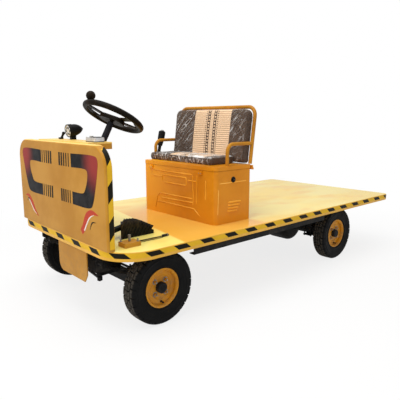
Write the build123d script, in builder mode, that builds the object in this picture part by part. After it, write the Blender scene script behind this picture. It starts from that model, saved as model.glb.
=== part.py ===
"""Electric platform truck: a flat deck on four wheels with a front cowl, a steering wheel and a seat box.

Frame: millimetres, +X towards the front, +Y towards the driver's left, +Z up, and the origin on the
ground under the middle of the deck. Each piece is a named builder part, written to its own STEP file.
"""
import math
import os

from build123d import *

os.makedirs("parts", exist_ok=True)

# Deck and running gear
DECK_LENGTH = 2770.0
DECK_WIDTH = 1310.0
DECK_TOP = 470.0
DECK_SHEET = 4.0
SKIRT_HEIGHT = 50.0
SKIRT_BOTTOM = DECK_TOP - SKIRT_HEIGHT
FRONT_CORNER_R = 205.0
REAR_CORNER_R = 40.0
HEM_R = 6.0
FRONT_X = DECK_LENGTH / 2
REAR_X = -DECK_LENGTH / 2
SIDE_Y = DECK_WIDTH / 2

TYRE_R = 207.5
TYRE_HALF_WIDTH = 50.0
BEAD_R = 105.0
BEAD_OUT = 34.0
RIM_FLANGE_R = 112.4
TRACK_HALF = 529.0
SPINDLE_OUT = 22.0
FRONT_OVERHANG = 321.4
REAR_OVERHANG = 685.2
FRONT_AXLE_X = FRONT_X - FRONT_OVERHANG
REAR_AXLE_X = REAR_X + REAR_OVERHANG
HUB_Z = TYRE_R

# Fits
PIN_FIT = 0.05
SEAT_GAP = 2.0

# Steering
KINGPIN_Y = 420.0
KINGPIN_R = 10.0
KINGPIN_END = 6.0
BOSS_R = 24.0
BEAM_BOTTOM = 153.0
BEAM_TOP = 213.0
BEAM_DEPTH = 55.0
FORK_GAP = 8.0
FORK_THICK = 20.0
SPINDLE_R = 15.0
STUD_R = 6.0
STUD_ABOVE = 20.0
STUD_SEAT_R = 14.0
ARM_REACH = 85.0
ARM_INSET = 15.0
ARM_Z = 160.0
ARM_THICK = 12.0
ROD_R = 8.0
ROD_END_R = 15.0
ROD_END_HEIGHT = 22.0
ROD_Z = ARM_Z + ARM_THICK + 16.0
PITMAN_X = FRONT_X - 193.0
PITMAN_Y = 245.0
WHEEL_CENTRE = (FRONT_X - 335.0, 90.0, 1133.0)
WHEEL_TILT = 28.6
WHEEL_R = 190.0
WHEEL_RIM_R = 17.0
COLUMN_R = 19.0
SHAFT_R = 11.0
SHAFT_FOOT = (FRONT_X - 110.0, PITMAN_Y, DECK_TOP + 4.0)
SHAFT_HOLE_R = 30.0
SHAFT_HOLE_BACK = 8.0

# Springs and chassis
SPRING_Y = 330.0
LEAF_WIDTH = 50.0
LEAF_THICK = 8.0
LEAF_COUNT = 4
EYE_R = 15.0
EYE_BORE_R = 8.0
RAIL_TOP = DECK_TOP - DECK_SHEET
RAIL_BOTTOM = RAIL_TOP - 100.0
RAIL_WIDTH = 50.0
RAIL_WALL = 5.0
SILL_Y = 600.0
SILL_WIDTH = 40.0
SILL_BOTTOM = RAIL_TOP - 96.0
REAR_TUBE_R = 42.0
FRONT_PAD_TOP = 235.0
REAR_PAD_TOP = 262.0

# Cowl
COWL_HALF = SIDE_Y - 102.7
COWL_TOP = 996.0
COWL_DEPTH = 40.0
COWL_CORNER_R = 115.0
COWL_EDGE_R = 11.0
COWL_SHEET = 3.0
COWL_REAR = FRONT_X - COWL_DEPTH
COWL_INNER = FRONT_X - COWL_SHEET
DASH_REAR = FRONT_X - 185.0
DASH_HALF = 315.0
DASH_BOTTOM = COWL_TOP - 34.0
DASH_TOP = COWL_TOP + 4.0
DASH_SHEET = 10.0

# Seat box and seat
BOX_REAR = 274.0
BOX_FRONT = 605.0
BOX_TOP = 805.0
BOX_SHEET = 3.0
LID_BOTTOM = BOX_TOP + SEAT_GAP
LID_TOP = LID_BOTTOM + 25.0
HINGE_PIN = (BOX_REAR - 12.0, BOX_TOP - 2.0)
SEAT_Y = 100.0
SEAT_HALF = 375.0
TUBE_R = 12.5
BOX_RIGHT = SEAT_Y - SEAT_HALF + 28.0
BOX_LEFT = SEAT_Y + SEAT_HALF + 27.0


def tilted(height):
    """Plane across the steering axis, at a height along the axis above the steering wheel's middle."""
    wheel_plane = Plane(WHEEL_CENTRE, x_dir=(0, 1, 0), z_dir=steering_axis())
    return wheel_plane.offset(height)


def steering_axis():
    """Direction of the steering column, pointing up and back towards the driver."""
    tilt = math.radians(WHEEL_TILT)
    return (-math.sin(tilt), 0, math.cos(tilt))


def export(piece, name):
    """Label one finished piece and write it to its STEP file."""
    piece.part.label = name
    export_step(piece.part, f"parts/{name}.step")


def deck_plan(inset):
    """Deck outline seen from above, drawn in by inset from the skirt's outside."""
    with BuildSketch(Plane.XY.offset(SKIRT_BOTTOM)) as outline:
        Rectangle(DECK_LENGTH - 2 * inset, DECK_WIDTH - 2 * inset)
        fillet(outline.vertices().group_by(Axis.X)[-1], FRONT_CORNER_R - inset)
        fillet(outline.vertices().group_by(Axis.X)[0], REAR_CORNER_R - inset)
    return outline.sketch


with BuildPart() as deck:
    extrude(deck_plan(0), amount=SKIRT_HEIGHT)
    fillet(deck.faces().sort_by(Axis.Z)[-1].edges(), HEM_R)
    extrude(deck_plan(DECK_SHEET), amount=SKIRT_HEIGHT - DECK_SHEET, mode=Mode.SUBTRACT)
    with Locations((SHAFT_FOOT[0], SHAFT_FOOT[1] - SHAFT_HOLE_BACK, DECK_TOP)):
        Cylinder(SHAFT_HOLE_R, 4 * DECK_SHEET, mode=Mode.SUBTRACT)
export(deck, "deck")


SILL_X = (-430.0, 880.0)
# Longitudinal channels under the deck: rear x, front x, middle y, width, bottom z
CHANNELS = (
    (REAR_X + 20, FRONT_X - 39, SPRING_Y, RAIL_WIDTH, RAIL_BOTTOM),
    (*SILL_X, SILL_Y, SILL_WIDTH, SILL_BOTTOM),
)
SILL_INNER = SILL_Y - SILL_WIDTH / 2
CROSS_BOTTOM = RAIL_TOP - 34.0
CROSS_WIDTH = 50.0
# Cross members between and outside the rails: middle x, outer end in y
CROSS_MEMBERS = (
    (FRONT_X - 39, SIDE_Y - 155),
    (SILL_X[1] - 10, SILL_INNER),
    (440.0, SILL_INNER),
    (0.0, SILL_INNER),
    (SILL_X[0] + CROSS_WIDTH / 2, SILL_INNER),
    (REAR_AXLE_X - 260, SIDE_Y - 10),
    (REAR_X + 45, SIDE_Y - 55),
)

with BuildPart() as chassis_rails:
    for side in (1, -1):
        for rear, front, middle, width, bottom in CHANNELS:
            with BuildSketch(Plane.YZ.offset(rear)):
                with Locations((side * middle, (bottom + RAIL_TOP) / 2)):
                    Rectangle(width, RAIL_TOP - bottom)
                with Locations((side * (middle - RAIL_WALL), (bottom + RAIL_TOP) / 2)):
                    Rectangle(width, RAIL_TOP - bottom - 2 * RAIL_WALL, mode=Mode.SUBTRACT)
            extrude(amount=front - rear)
export(chassis_rails, "chassis_rails")

with BuildPart() as cross_members:
    for middle, outer_end in CROSS_MEMBERS:
        rail_in = SPRING_Y - RAIL_WIDTH / 2
        rail_out = SPRING_Y + RAIL_WIDTH / 2
        with BuildSketch(Plane.XY.offset(CROSS_BOTTOM)):
            with Locations((middle, 0)):
                Rectangle(CROSS_WIDTH, 2 * rail_in)
            for side in (1, -1):
                with Locations((middle, side * (rail_out + outer_end) / 2)):
                    Rectangle(CROSS_WIDTH, outer_end - rail_out)
        extrude(amount=RAIL_TOP - CROSS_BOTTOM)
export(cross_members, "cross_members")


def spring_arc(half_length, sagitta):
    """Radius of the circle through a spring's two eyes and its seat."""
    return (half_length**2 + sagitta**2) / (2 * sagitta)


# Leaf springs: name, axle x, half length, seat height, eye height, U-bolt half spacing in x,
# height of the plate under the axle
SPRINGS = (
    ("front_springs", FRONT_AXLE_X, 236.0, FRONT_PAD_TOP, RAIL_BOTTOM - 22, 34.0, BEAM_BOTTOM),
    ("rear_springs", REAR_AXLE_X, 380.0, REAR_PAD_TOP, RAIL_BOTTOM - 24, 49.0, HUB_Z - REAR_TUBE_R),
)
LEAF_STEP = 0.2
CLAMP_PLATE = 10.0
CLAMP_OVERHANG = 12.0
BOLT_R = 5.0
BOLT_BELOW = 6.0
BOLT_ABOVE = 8.0
HANGER_EAR = 6.0
HANGER_HALF = 22.0
HANGER_DROP = 22.0
HANGER_SIDE = 2.0

for name, axle_x, half, seat_z, eye_z, bolt_x, under_z in SPRINGS:
    main_top = seat_z + LEAF_COUNT * LEAF_THICK
    radius = spring_arc(half, eye_z - main_top + LEAF_THICK / 2)
    centre_z = main_top - LEAF_THICK / 2 + radius
    with BuildPart() as pair:
        for side in (1, -1):
            base = Plane.XZ.offset(-side * SPRING_Y - LEAF_WIDTH / 2)
            with BuildSketch(base):
                for leaf in range(LEAF_COUNT):
                    inner = radius + LEAF_THICK * (leaf - 0.5)
                    outer = inner + LEAF_THICK
                    swing = math.asin(half * (1 - LEAF_STEP * leaf) / radius)
                    corners = []
                    for reach in (inner, outer):
                        for angle in (-swing, 0, swing):
                            corners.append(
                                (axle_x + reach * math.sin(angle), centre_z - reach * math.cos(angle))
                            )
                    with BuildLine():
                        ThreePointArc(*corners[:3])
                        ThreePointArc(*corners[3:])
                        Line(corners[0], corners[3])
                        Line(corners[2], corners[5])
                    make_face()
                with Locations((axle_x - half, eye_z), (axle_x + half, eye_z)):
                    Circle(EYE_R)
            extrude(amount=LEAF_WIDTH)
            with BuildSketch(base):
                with Locations((axle_x - half, eye_z), (axle_x + half, eye_z)):
                    Circle(EYE_BORE_R + PIN_FIT)
            extrude(amount=LEAF_WIDTH, mode=Mode.SUBTRACT)
            for bottom in (main_top - 1, under_z - CLAMP_PLATE):
                with Locations((axle_x, side * SPRING_Y, bottom + CLAMP_PLATE / 2)):
                    Box(2 * bolt_x + 4 * BOLT_R, LEAF_WIDTH + 2 * CLAMP_OVERHANG, CLAMP_PLATE)
            bolt_foot = under_z - CLAMP_PLATE - BOLT_BELOW
            with BuildSketch(Plane.XY.offset(bolt_foot)):
                with Locations((axle_x, side * SPRING_Y)):
                    with GridLocations(2 * bolt_x, LEAF_WIDTH + CLAMP_OVERHANG, 2, 2):
                        Circle(BOLT_R)
            extrude(amount=main_top + CLAMP_PLATE + BOLT_ABOVE - bolt_foot)
    export(pair, name)

with BuildPart() as spring_hangers:
    for _, axle_x, half, _, eye_z, _, _ in SPRINGS:
        for end in (-1, 1):
            for side in (1, -1):
                hanger_x = axle_x + end * half
                ear_y = LEAF_WIDTH / 2 + HANGER_SIDE + HANGER_EAR / 2
                for inward in (-ear_y, ear_y):
                    with Locations((hanger_x, side * SPRING_Y + inward, eye_z)):
                        Cylinder(HANGER_DROP, HANGER_EAR, rotation=(90, 0, 0))
                    with Locations((hanger_x, side * SPRING_Y + inward, (eye_z + RAIL_BOTTOM) / 2)):
                        Box(2 * HANGER_HALF, HANGER_EAR, RAIL_BOTTOM - eye_z)
                with Locations((hanger_x, side * SPRING_Y, RAIL_BOTTOM - HANGER_EAR / 2)):
                    Box(2 * HANGER_HALF, 2 * ear_y + HANGER_EAR, HANGER_EAR)
                with Locations((hanger_x, side * SPRING_Y, eye_z)):
                    Cylinder(EYE_BORE_R, 2 * ear_y + 3 * HANGER_EAR, rotation=(90, 0, 0))
export(spring_hangers, "spring_hangers")


# Axles and steering knuckles
BEAM_BOSS_R = BOSS_R + 4.0
with BuildPart() as front_axle:
    with Locations((FRONT_AXLE_X, 0, (BEAM_BOTTOM + BEAM_TOP) / 2)):
        Box(BEAM_DEPTH, 2 * KINGPIN_Y, BEAM_TOP - BEAM_BOTTOM)
    for side in (1, -1):
        with Locations((FRONT_AXLE_X, side * KINGPIN_Y, (BEAM_BOTTOM + BEAM_TOP) / 2)):
            Cylinder(BEAM_BOSS_R, BEAM_TOP - BEAM_BOTTOM)
            Cylinder(KINGPIN_R + PIN_FIT, BEAM_TOP - BEAM_BOTTOM, mode=Mode.SUBTRACT)
        with Locations((FRONT_AXLE_X, side * SPRING_Y, (BEAM_TOP + FRONT_PAD_TOP) / 2)):
            Box(BEAM_DEPTH, LEAF_WIDTH, FRONT_PAD_TOP - BEAM_TOP)
export(front_axle, "front_axle")

REAR_TUBE_END = 470.0
DIFF_R = 140.0
DIFF_Y = (-85.0, 145.0)
DIFF_EDGE_R = 45.0
MOTOR_R = 85.0
MOTOR_LENGTH = 250.0
MOTOR_AXIS = (30.0, HUB_Z + 20.0)
MOTOR_REACH = DIFF_R + 10.0
with BuildPart() as rear_axle:
    with Locations((REAR_AXLE_X, 0, HUB_Z)):
        Cylinder(REAR_TUBE_R, 2 * REAR_TUBE_END, rotation=(90, 0, 0))
        Cylinder(SPINDLE_R, 2 * (TRACK_HALF + SPINDLE_OUT), rotation=(90, 0, 0))
    with BuildSketch(Plane.XZ.offset(-DIFF_Y[1])):
        with Locations((REAR_AXLE_X, HUB_Z)):
            Circle(DIFF_R)
    extrude(amount=DIFF_Y[1] - DIFF_Y[0])
    round_edges = rear_axle.edges().filter_by(GeomType.CIRCLE)
    fillet(round_edges.filter_by(lambda e: e.radius > DIFF_R - 1), DIFF_EDGE_R)
    with BuildSketch(Plane.YZ.offset(REAR_AXLE_X)):
        with Locations(MOTOR_AXIS):
            Circle(MOTOR_R - 10)
    extrude(amount=MOTOR_REACH)
    for side in (1, -1):
        with Locations((REAR_AXLE_X, side * SPRING_Y, (HUB_Z + REAR_PAD_TOP) / 2)):
            Box(BEAM_DEPTH + 25, LEAF_WIDTH, REAR_PAD_TOP - HUB_Z)
export(rear_axle, "rear_axle")

with BuildPart() as drive_motor:
    with BuildSketch(Plane.YZ.offset(REAR_AXLE_X + MOTOR_REACH)):
        with Locations(MOTOR_AXIS):
            Circle(MOTOR_R)
    extrude(amount=MOTOR_LENGTH)
export(drive_motor, "drive_motor")

FORK_BOTTOM = BEAM_BOTTOM - FORK_GAP - FORK_THICK
FORK_TOP = BEAM_TOP + FORK_GAP + FORK_THICK
FORK_INNER = KINGPIN_Y - BOSS_R
WEB_INNER = KINGPIN_Y + 35.0
WEB_OUTER = KINGPIN_Y + 53.0
FORK_HALF = 26.0


def steering_arm(side, reach, inset):
    """Flat arm from the knuckle to the ball stud: reach along x and inset inboard from the kingpin."""
    end = (FRONT_AXLE_X + reach, side * (KINGPIN_Y - inset))
    root = math.copysign(FORK_HALF - 6, reach)
    with BuildSketch(Plane.XY.offset(ARM_Z)) as plate:
        with BuildLine():
            Polyline(
                (FRONT_AXLE_X + root, side * WEB_OUTER),
                (FRONT_AXLE_X + root, side * (WEB_INNER + 1)),
                (end[0], end[1] - side * STUD_SEAT_R),
                (end[0], end[1] + side * STUD_SEAT_R),
                close=True,
            )
        make_face()
        with Locations(end):
            Circle(STUD_SEAT_R)
    extrude(plate.sketch, amount=ARM_THICK)
    with Locations((end[0], end[1], (ARM_Z + ROD_Z + STUD_ABOVE) / 2)):
        Cylinder(STUD_R, ROD_Z + STUD_ABOVE - ARM_Z)


# Steering knuckles: name, side, whether it carries the drag link's arm
KNUCKLES = (("knuckle_left", 1, False), ("knuckle_right", -1, True))
for name, side, has_drag_arm in KNUCKLES:
    with BuildPart() as knuckle:
        for bottom in (FORK_BOTTOM, FORK_TOP - FORK_THICK):
            with Locations((FRONT_AXLE_X, side * (FORK_INNER + WEB_OUTER) / 2, bottom + FORK_THICK / 2)):
                Box(2 * FORK_HALF, WEB_OUTER - FORK_INNER, FORK_THICK)
        with Locations((FRONT_AXLE_X, side * (WEB_INNER + WEB_OUTER) / 2, (FORK_BOTTOM + FORK_TOP) / 2)):
            Box(2 * FORK_HALF, WEB_OUTER - WEB_INNER, FORK_TOP - FORK_BOTTOM)
        with Locations((FRONT_AXLE_X, side * KINGPIN_Y, (FORK_BOTTOM + FORK_TOP) / 2)):
            Cylinder(KINGPIN_R, FORK_TOP - FORK_BOTTOM + 2 * KINGPIN_END)
        with Locations((FRONT_AXLE_X, side * (WEB_OUTER + TRACK_HALF + SPINDLE_OUT) / 2, HUB_Z)):
            Cylinder(SPINDLE_R, TRACK_HALF + SPINDLE_OUT - WEB_OUTER, rotation=(90, 0, 0))
        steering_arm(side, -ARM_REACH, 0)
        if has_drag_arm:
            steering_arm(side, ARM_REACH, ARM_INSET)
    export(knuckle, name)


def rod_between(start, end):
    """Round rod with an eye at each end, laid between two ball studs."""
    for eye in (start, end):
        with Locations(eye):
            Cylinder(ROD_END_R, ROD_END_HEIGHT)
    along = Vector(*end) - Vector(*start)
    with BuildSketch(Plane(start, z_dir=along)) as section:
        Circle(ROD_R)
    extrude(section.sketch, amount=along.length)
    for eye in (start, end):
        with Locations(eye):
            Cylinder(STUD_R + PIN_FIT, 2 * ROD_END_HEIGHT, mode=Mode.SUBTRACT)


with BuildPart() as tie_rod:
    rod_between(
        (FRONT_AXLE_X - ARM_REACH, KINGPIN_Y, ROD_Z),
        (FRONT_AXLE_X - ARM_REACH, -KINGPIN_Y, ROD_Z),
    )
export(tie_rod, "tie_rod")

PITMAN_END = (PITMAN_X + ARM_REACH, PITMAN_Y + ARM_INSET)
PITMAN_ARM_Z = 250.0
PITMAN_ROD_Z = 232.0
PITMAN_THICK = 16.0
PITMAN_BOSS_R = 24.0
PITMAN_END_R = 18.0
PITMAN_SHAFT_R = 14.0
PITMAN_SHAFT = 48.0
PITMAN_STUD = (-34.0, 18.0)
with BuildPart() as drag_link:
    rod_between(
        (FRONT_AXLE_X + ARM_REACH, ARM_INSET - KINGPIN_Y, ROD_Z),
        (*PITMAN_END, PITMAN_ROD_Z),
    )
export(drag_link, "drag_link")

with BuildPart() as pitman_arm:
    with BuildSketch(Plane.XY.offset(PITMAN_ARM_Z)):
        with Locations((PITMAN_X, PITMAN_Y)):
            Circle(PITMAN_BOSS_R)
        with Locations(PITMAN_END):
            Circle(PITMAN_END_R)
        make_hull()
    extrude(amount=PITMAN_THICK)
    with Locations((*PITMAN_END, PITMAN_ARM_Z + sum(PITMAN_STUD) / 2)):
        Cylinder(STUD_R, PITMAN_STUD[1] - PITMAN_STUD[0])
    with Locations((PITMAN_X, PITMAN_Y, PITMAN_ARM_Z + PITMAN_SHAFT / 2)):
        Cylinder(PITMAN_SHAFT_R, PITMAN_SHAFT)
export(pitman_arm, "pitman_arm")

GEARBOX_X = (PITMAN_X - 37.0, PITMAN_X + 118.0)
GEARBOX_Y = (PITMAN_Y - 55.0, PITMAN_Y + 45.0)
GEARBOX_BOTTOM = 275.0
GEARBOX_BORE = 60.0
with BuildPart() as steering_box:
    with Locations(
        (sum(GEARBOX_X) / 2, sum(GEARBOX_Y) / 2, (GEARBOX_BOTTOM + RAIL_TOP) / 2),
    ):
        Box(GEARBOX_X[1] - GEARBOX_X[0], GEARBOX_Y[1] - GEARBOX_Y[0], RAIL_TOP - GEARBOX_BOTTOM)
    with Locations((PITMAN_X, PITMAN_Y, GEARBOX_BOTTOM + GEARBOX_BORE / 2)):
        Cylinder(PITMAN_SHAFT_R + PIN_FIT, GEARBOX_BORE, mode=Mode.SUBTRACT)
export(steering_box, "steering_box")


# Wheels: name, axle x, side
WHEELS = (
    ("front_left", FRONT_AXLE_X, 1),
    ("front_right", FRONT_AXLE_X, -1),
    ("rear_left", REAR_AXLE_X, 1),
    ("rear_right", REAR_AXLE_X, -1),
)
SHOULDER_R = TYRE_R - 14.5
WALL_FOOT = (BEAD_R + 13.0, BEAD_OUT + 8.0)
WALL_MIDDLE = ((SHOULDER_R + WALL_FOOT[0]) / 2, TYRE_HALF_WIDTH - 2.0)
TREAD_HALF = TYRE_HALF_WIDTH - 12.0
FLANGE_OUT = BEAD_OUT + 5.0
FLANGE_IN_R = BEAD_R - 1.0
BARREL_R = BEAD_R - 7.0
DISC_EDGE_R = BEAD_R - 33.0
DISC_FLAT_R = BEAD_R - 41.0
NUT_COUNT = 4
NUT_ANGLE = 45.0
NUT_CIRCLE_R = 51.0
NUT_R = 10.0
NUT_HEIGHT = 12.0
DISC_OUT = 14.0
DISC_THICK = 6.0
DRUM_R = BARREL_R - 16.0
DRUM_IN = -46.0
CAP_R = 31.0
CAP_OUT = 44.0
CAP_BEVEL = 6.0


def wheel_plane(axle_x, side):
    """Plane on a wheel's middle: its x axis is the radius and its y axis points outboard."""
    return Plane((axle_x, side * TRACK_HALF, HUB_Z), x_dir=(1, 0, 0), z_dir=(0, 0, side))


def wheel_axis(axle_x, side):
    """Axis of a wheel, pointing outboard."""
    return Axis((axle_x, side * TRACK_HALF, HUB_Z), (0, side, 0))


for name, axle_x, side in WHEELS:
    plane = wheel_plane(axle_x, side)
    axis = wheel_axis(axle_x, side)
    with BuildPart() as tyre:
        with BuildSketch(plane):
            with BuildLine():
                ThreePointArc((SHOULDER_R, TYRE_HALF_WIDTH), WALL_MIDDLE, WALL_FOOT)
                Polyline(
                    WALL_FOOT,
                    (RIM_FLANGE_R + 1, BEAD_OUT),
                    (BEAD_R, BEAD_OUT),
                    (BEAD_R, -BEAD_OUT),
                    (RIM_FLANGE_R + 1, -BEAD_OUT),
                    (WALL_FOOT[0], -WALL_FOOT[1]),
                )
                ThreePointArc(
                    (WALL_FOOT[0], -WALL_FOOT[1]),
                    (WALL_MIDDLE[0], -WALL_MIDDLE[1]),
                    (SHOULDER_R, -TYRE_HALF_WIDTH),
                )
                Polyline(
                    (SHOULDER_R, -TYRE_HALF_WIDTH),
                    (TYRE_R, -TREAD_HALF),
                    (TYRE_R, TREAD_HALF),
                    (SHOULDER_R, TYRE_HALF_WIDTH),
                )
            make_face()
        revolve(axis=axis)
    export(tyre, f"tyre_{name}")
    with BuildPart() as rim:
        with BuildSketch(plane):
            with BuildLine():
                Polyline(
                    (RIM_FLANGE_R, BEAD_OUT),
                    (RIM_FLANGE_R, FLANGE_OUT),
                    (FLANGE_IN_R, FLANGE_OUT),
                    (BARREL_R, BEAD_OUT - 4),
                    (BARREL_R - 2, DISC_OUT + 4),
                    (DISC_EDGE_R, DISC_OUT + 6),
                    (DISC_FLAT_R, DISC_OUT),
                    (CAP_R, DISC_OUT),
                    (CAP_R, DISC_OUT - DISC_THICK),
                    (DISC_FLAT_R + 2, DISC_OUT - DISC_THICK),
                    (DISC_EDGE_R + 2, DISC_OUT),
                    (BARREL_R - 6, DISC_OUT - 2),
                    (BARREL_R, 4 - BEAD_OUT),
                    (FLANGE_IN_R, -FLANGE_OUT),
                    (RIM_FLANGE_R, -FLANGE_OUT),
                    (RIM_FLANGE_R, -BEAD_OUT),
                    (BEAD_R, -BEAD_OUT),
                    (BEAD_R, BEAD_OUT),
                    close=True,
                )
            make_face()
        revolve(axis=axis)
        with BuildSketch(Plane(plane.origin, x_dir=(1, 0, 0), z_dir=(0, side, 0)).offset(DISC_OUT)):
            with PolarLocations(NUT_CIRCLE_R, NUT_COUNT, start_angle=NUT_ANGLE):
                RegularPolygon(NUT_R, 6)
        extrude(amount=NUT_HEIGHT)
    export(rim, f"rim_{name}")
    with BuildPart() as hub:
        with BuildSketch(plane):
            with BuildLine():
                Polyline(
                    (SPINDLE_R + PIN_FIT, DRUM_IN),
                    (DRUM_R, DRUM_IN),
                    (DRUM_R, DISC_OUT - DISC_THICK),
                    (CAP_R, DISC_OUT - DISC_THICK),
                    (CAP_R, CAP_OUT - CAP_BEVEL),
                    (CAP_R - CAP_BEVEL, CAP_OUT),
                    (0, CAP_OUT),
                    (0, SPINDLE_OUT + 2),
                    (SPINDLE_R + PIN_FIT, SPINDLE_OUT + 2),
                    close=True,
                )
            make_face()
        revolve(axis=axis)
    export(hub, f"hub_{name}")


# Front cowl, apron and controls
def cowl_outline(inset):
    """Cowl seen from the front, standing on the deck, drawn in by inset at its sides and top."""
    with BuildSketch(Plane.YZ.offset(COWL_REAR)) as outline:
        with Locations((0, (DECK_TOP + COWL_TOP - inset) / 2)):
            Rectangle(2 * (COWL_HALF - inset), COWL_TOP - inset - DECK_TOP)
        fillet(outline.vertices().group_by(Axis.Y)[-1], COWL_CORNER_R - inset)
    return outline.sketch


def cowl_block(inset):
    """Solid inside the cowl's outline, with the front edge of its sides and top rounded."""
    with BuildPart() as block:
        extrude(cowl_outline(inset), amount=COWL_DEPTH - inset)
        front_edges = block.faces().sort_by(Axis.X)[-1].edges()
        fillet(front_edges.sort_by(Axis.Z)[1:], COWL_EDGE_R - inset)
    return block.part


with BuildPart() as cowl:
    add(cowl_block(0))
    add(cowl_block(COWL_SHEET), mode=Mode.SUBTRACT)
export(cowl, "cowl")

APRON_THICK = 6.0
APRON_Y = (-28.0, 314.0)
APRON_BOTTOM = 243.0
APRON_CUT = (30.0, 45.0)
APRON_CORNER_R = (55.0, 18.0)
with BuildPart() as apron:
    with BuildSketch(Plane.YZ.offset(FRONT_X - DECK_SHEET - APRON_THICK)) as outline:
        with BuildLine():
            Polyline(
                (APRON_Y[0], RAIL_TOP),
                (APRON_Y[0], APRON_BOTTOM),
                (APRON_Y[1] - APRON_CUT[0], APRON_BOTTOM),
                (APRON_Y[1], APRON_BOTTOM + APRON_CUT[1]),
                (APRON_Y[1], RAIL_TOP),
                close=True,
            )
        make_face()
        low_corners = outline.vertices().group_by(Axis.Y)[0].sort_by(Axis.X)
        fillet(low_corners[0], APRON_CORNER_R[0])
        fillet(low_corners[1], APRON_CORNER_R[1])
    extrude(amount=APRON_THICK)
export(apron, "apron")

with BuildPart() as dash:
    with BuildSketch(Plane.XZ.offset(-DASH_HALF)):
        with BuildLine():
            Polyline(
                (DASH_REAR, DASH_BOTTOM),
                (COWL_INNER, DASH_BOTTOM),
                (COWL_INNER, COWL_TOP - COWL_EDGE_R),
                (FRONT_X - COWL_EDGE_R, COWL_TOP - COWL_SHEET),
                (COWL_REAR, COWL_TOP - COWL_SHEET),
                (COWL_REAR, DASH_TOP),
                (DASH_REAR, DASH_TOP),
                close=True,
            )
        make_face()
    extrude(amount=2 * DASH_HALF)
    hollow = DASH_TOP - DASH_SHEET - DASH_BOTTOM
    with Locations(((DASH_REAR + COWL_INNER) / 2, 0, DASH_BOTTOM + hollow / 2)):
        Box(
            COWL_INNER - DASH_REAR - 2 * COWL_SHEET,
            2 * (DASH_HALF - COWL_SHEET),
            hollow,
            mode=Mode.SUBTRACT,
        )
export(dash, "dash")

INSTRUMENT_PLACE = (DASH_REAR + 62.0, DASH_HALF - 70.0)
INSTRUMENT_SIZE = (60.0, 105.0, 24.0)
with BuildPart() as instrument_panel:
    with Locations((*INSTRUMENT_PLACE, DASH_TOP + INSTRUMENT_SIZE[2] / 2)):
        Box(*INSTRUMENT_SIZE)
    fillet(instrument_panel.edges().filter_by(Axis.Z), 8)
export(instrument_panel, "instrument_panel")

LAMP_Y = -106.0
LAMP_Z = DASH_TOP + 52.0
LAMP_FRONT = DASH_REAR + 44.0
LAMP_PITCH = 7.0
LAMP_R = 38.0
LAMP_BEZEL = 20.0
LAMP_LENGTH = 96.0
LAMP_FOOT = (30.0, 26.0)


def lamp_point(back, height):
    """Point on the headlamp's middle plane: distance behind its glass and height over its axis."""
    pitch = math.radians(LAMP_PITCH)
    return (
        LAMP_FRONT - back * math.cos(pitch) + height * math.sin(pitch),
        LAMP_Z + back * math.sin(pitch) + height * math.cos(pitch),
    )


with BuildPart() as headlamp:
    with BuildSketch(Plane.XZ.offset(-LAMP_Y)):
        with BuildLine():
            Polyline(
                lamp_point(LAMP_LENGTH, 0),
                lamp_point(0, 0),
                lamp_point(0, LAMP_R),
                lamp_point(LAMP_BEZEL, LAMP_R),
                lamp_point(LAMP_BEZEL + 3, LAMP_R - 3),
            )
            ThreePointArc(
                lamp_point(LAMP_BEZEL + 3, LAMP_R - 3),
                lamp_point(0.72 * LAMP_LENGTH, 0.66 * LAMP_R),
                lamp_point(LAMP_LENGTH, 0),
            )
        make_face()
    lamp_x, lamp_z = lamp_point(1, 0)
    lamp_axis = Vector(LAMP_FRONT - lamp_x, 0, LAMP_Z - lamp_z)
    revolve(axis=Axis((LAMP_FRONT, LAMP_Y, LAMP_Z), lamp_axis))
    with Locations((DASH_REAR + LAMP_FOOT[0] / 2 + 2, LAMP_Y, (DASH_TOP + LAMP_Z) / 2)):
        Box(*LAMP_FOOT, LAMP_Z - DASH_TOP)
export(headlamp, "headlamp")

SWITCH_FOOT = (DASH_REAR + 46.0, LAMP_Y - 104.0, DASH_TOP)
SWITCH_LEAN = (-8.0, 22.0, 36.0)
SWITCH_R = (15.0, 7.0, 10.0)
with BuildPart() as direction_switch:
    with BuildSketch(Plane(SWITCH_FOOT)):
        Circle(SWITCH_R[0])
    extrude(amount=10)
    with BuildSketch(Plane(SWITCH_FOOT, z_dir=SWITCH_LEAN)):
        Circle(SWITCH_R[1])
    extrude(amount=Vector(*SWITCH_LEAN).length)
    with Locations(Vector(*SWITCH_FOOT) + Vector(*SWITCH_LEAN)):
        Sphere(SWITCH_R[2])
    split(bisect_by=Plane.XY.offset(DASH_TOP))
export(direction_switch, "direction_switch")

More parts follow.
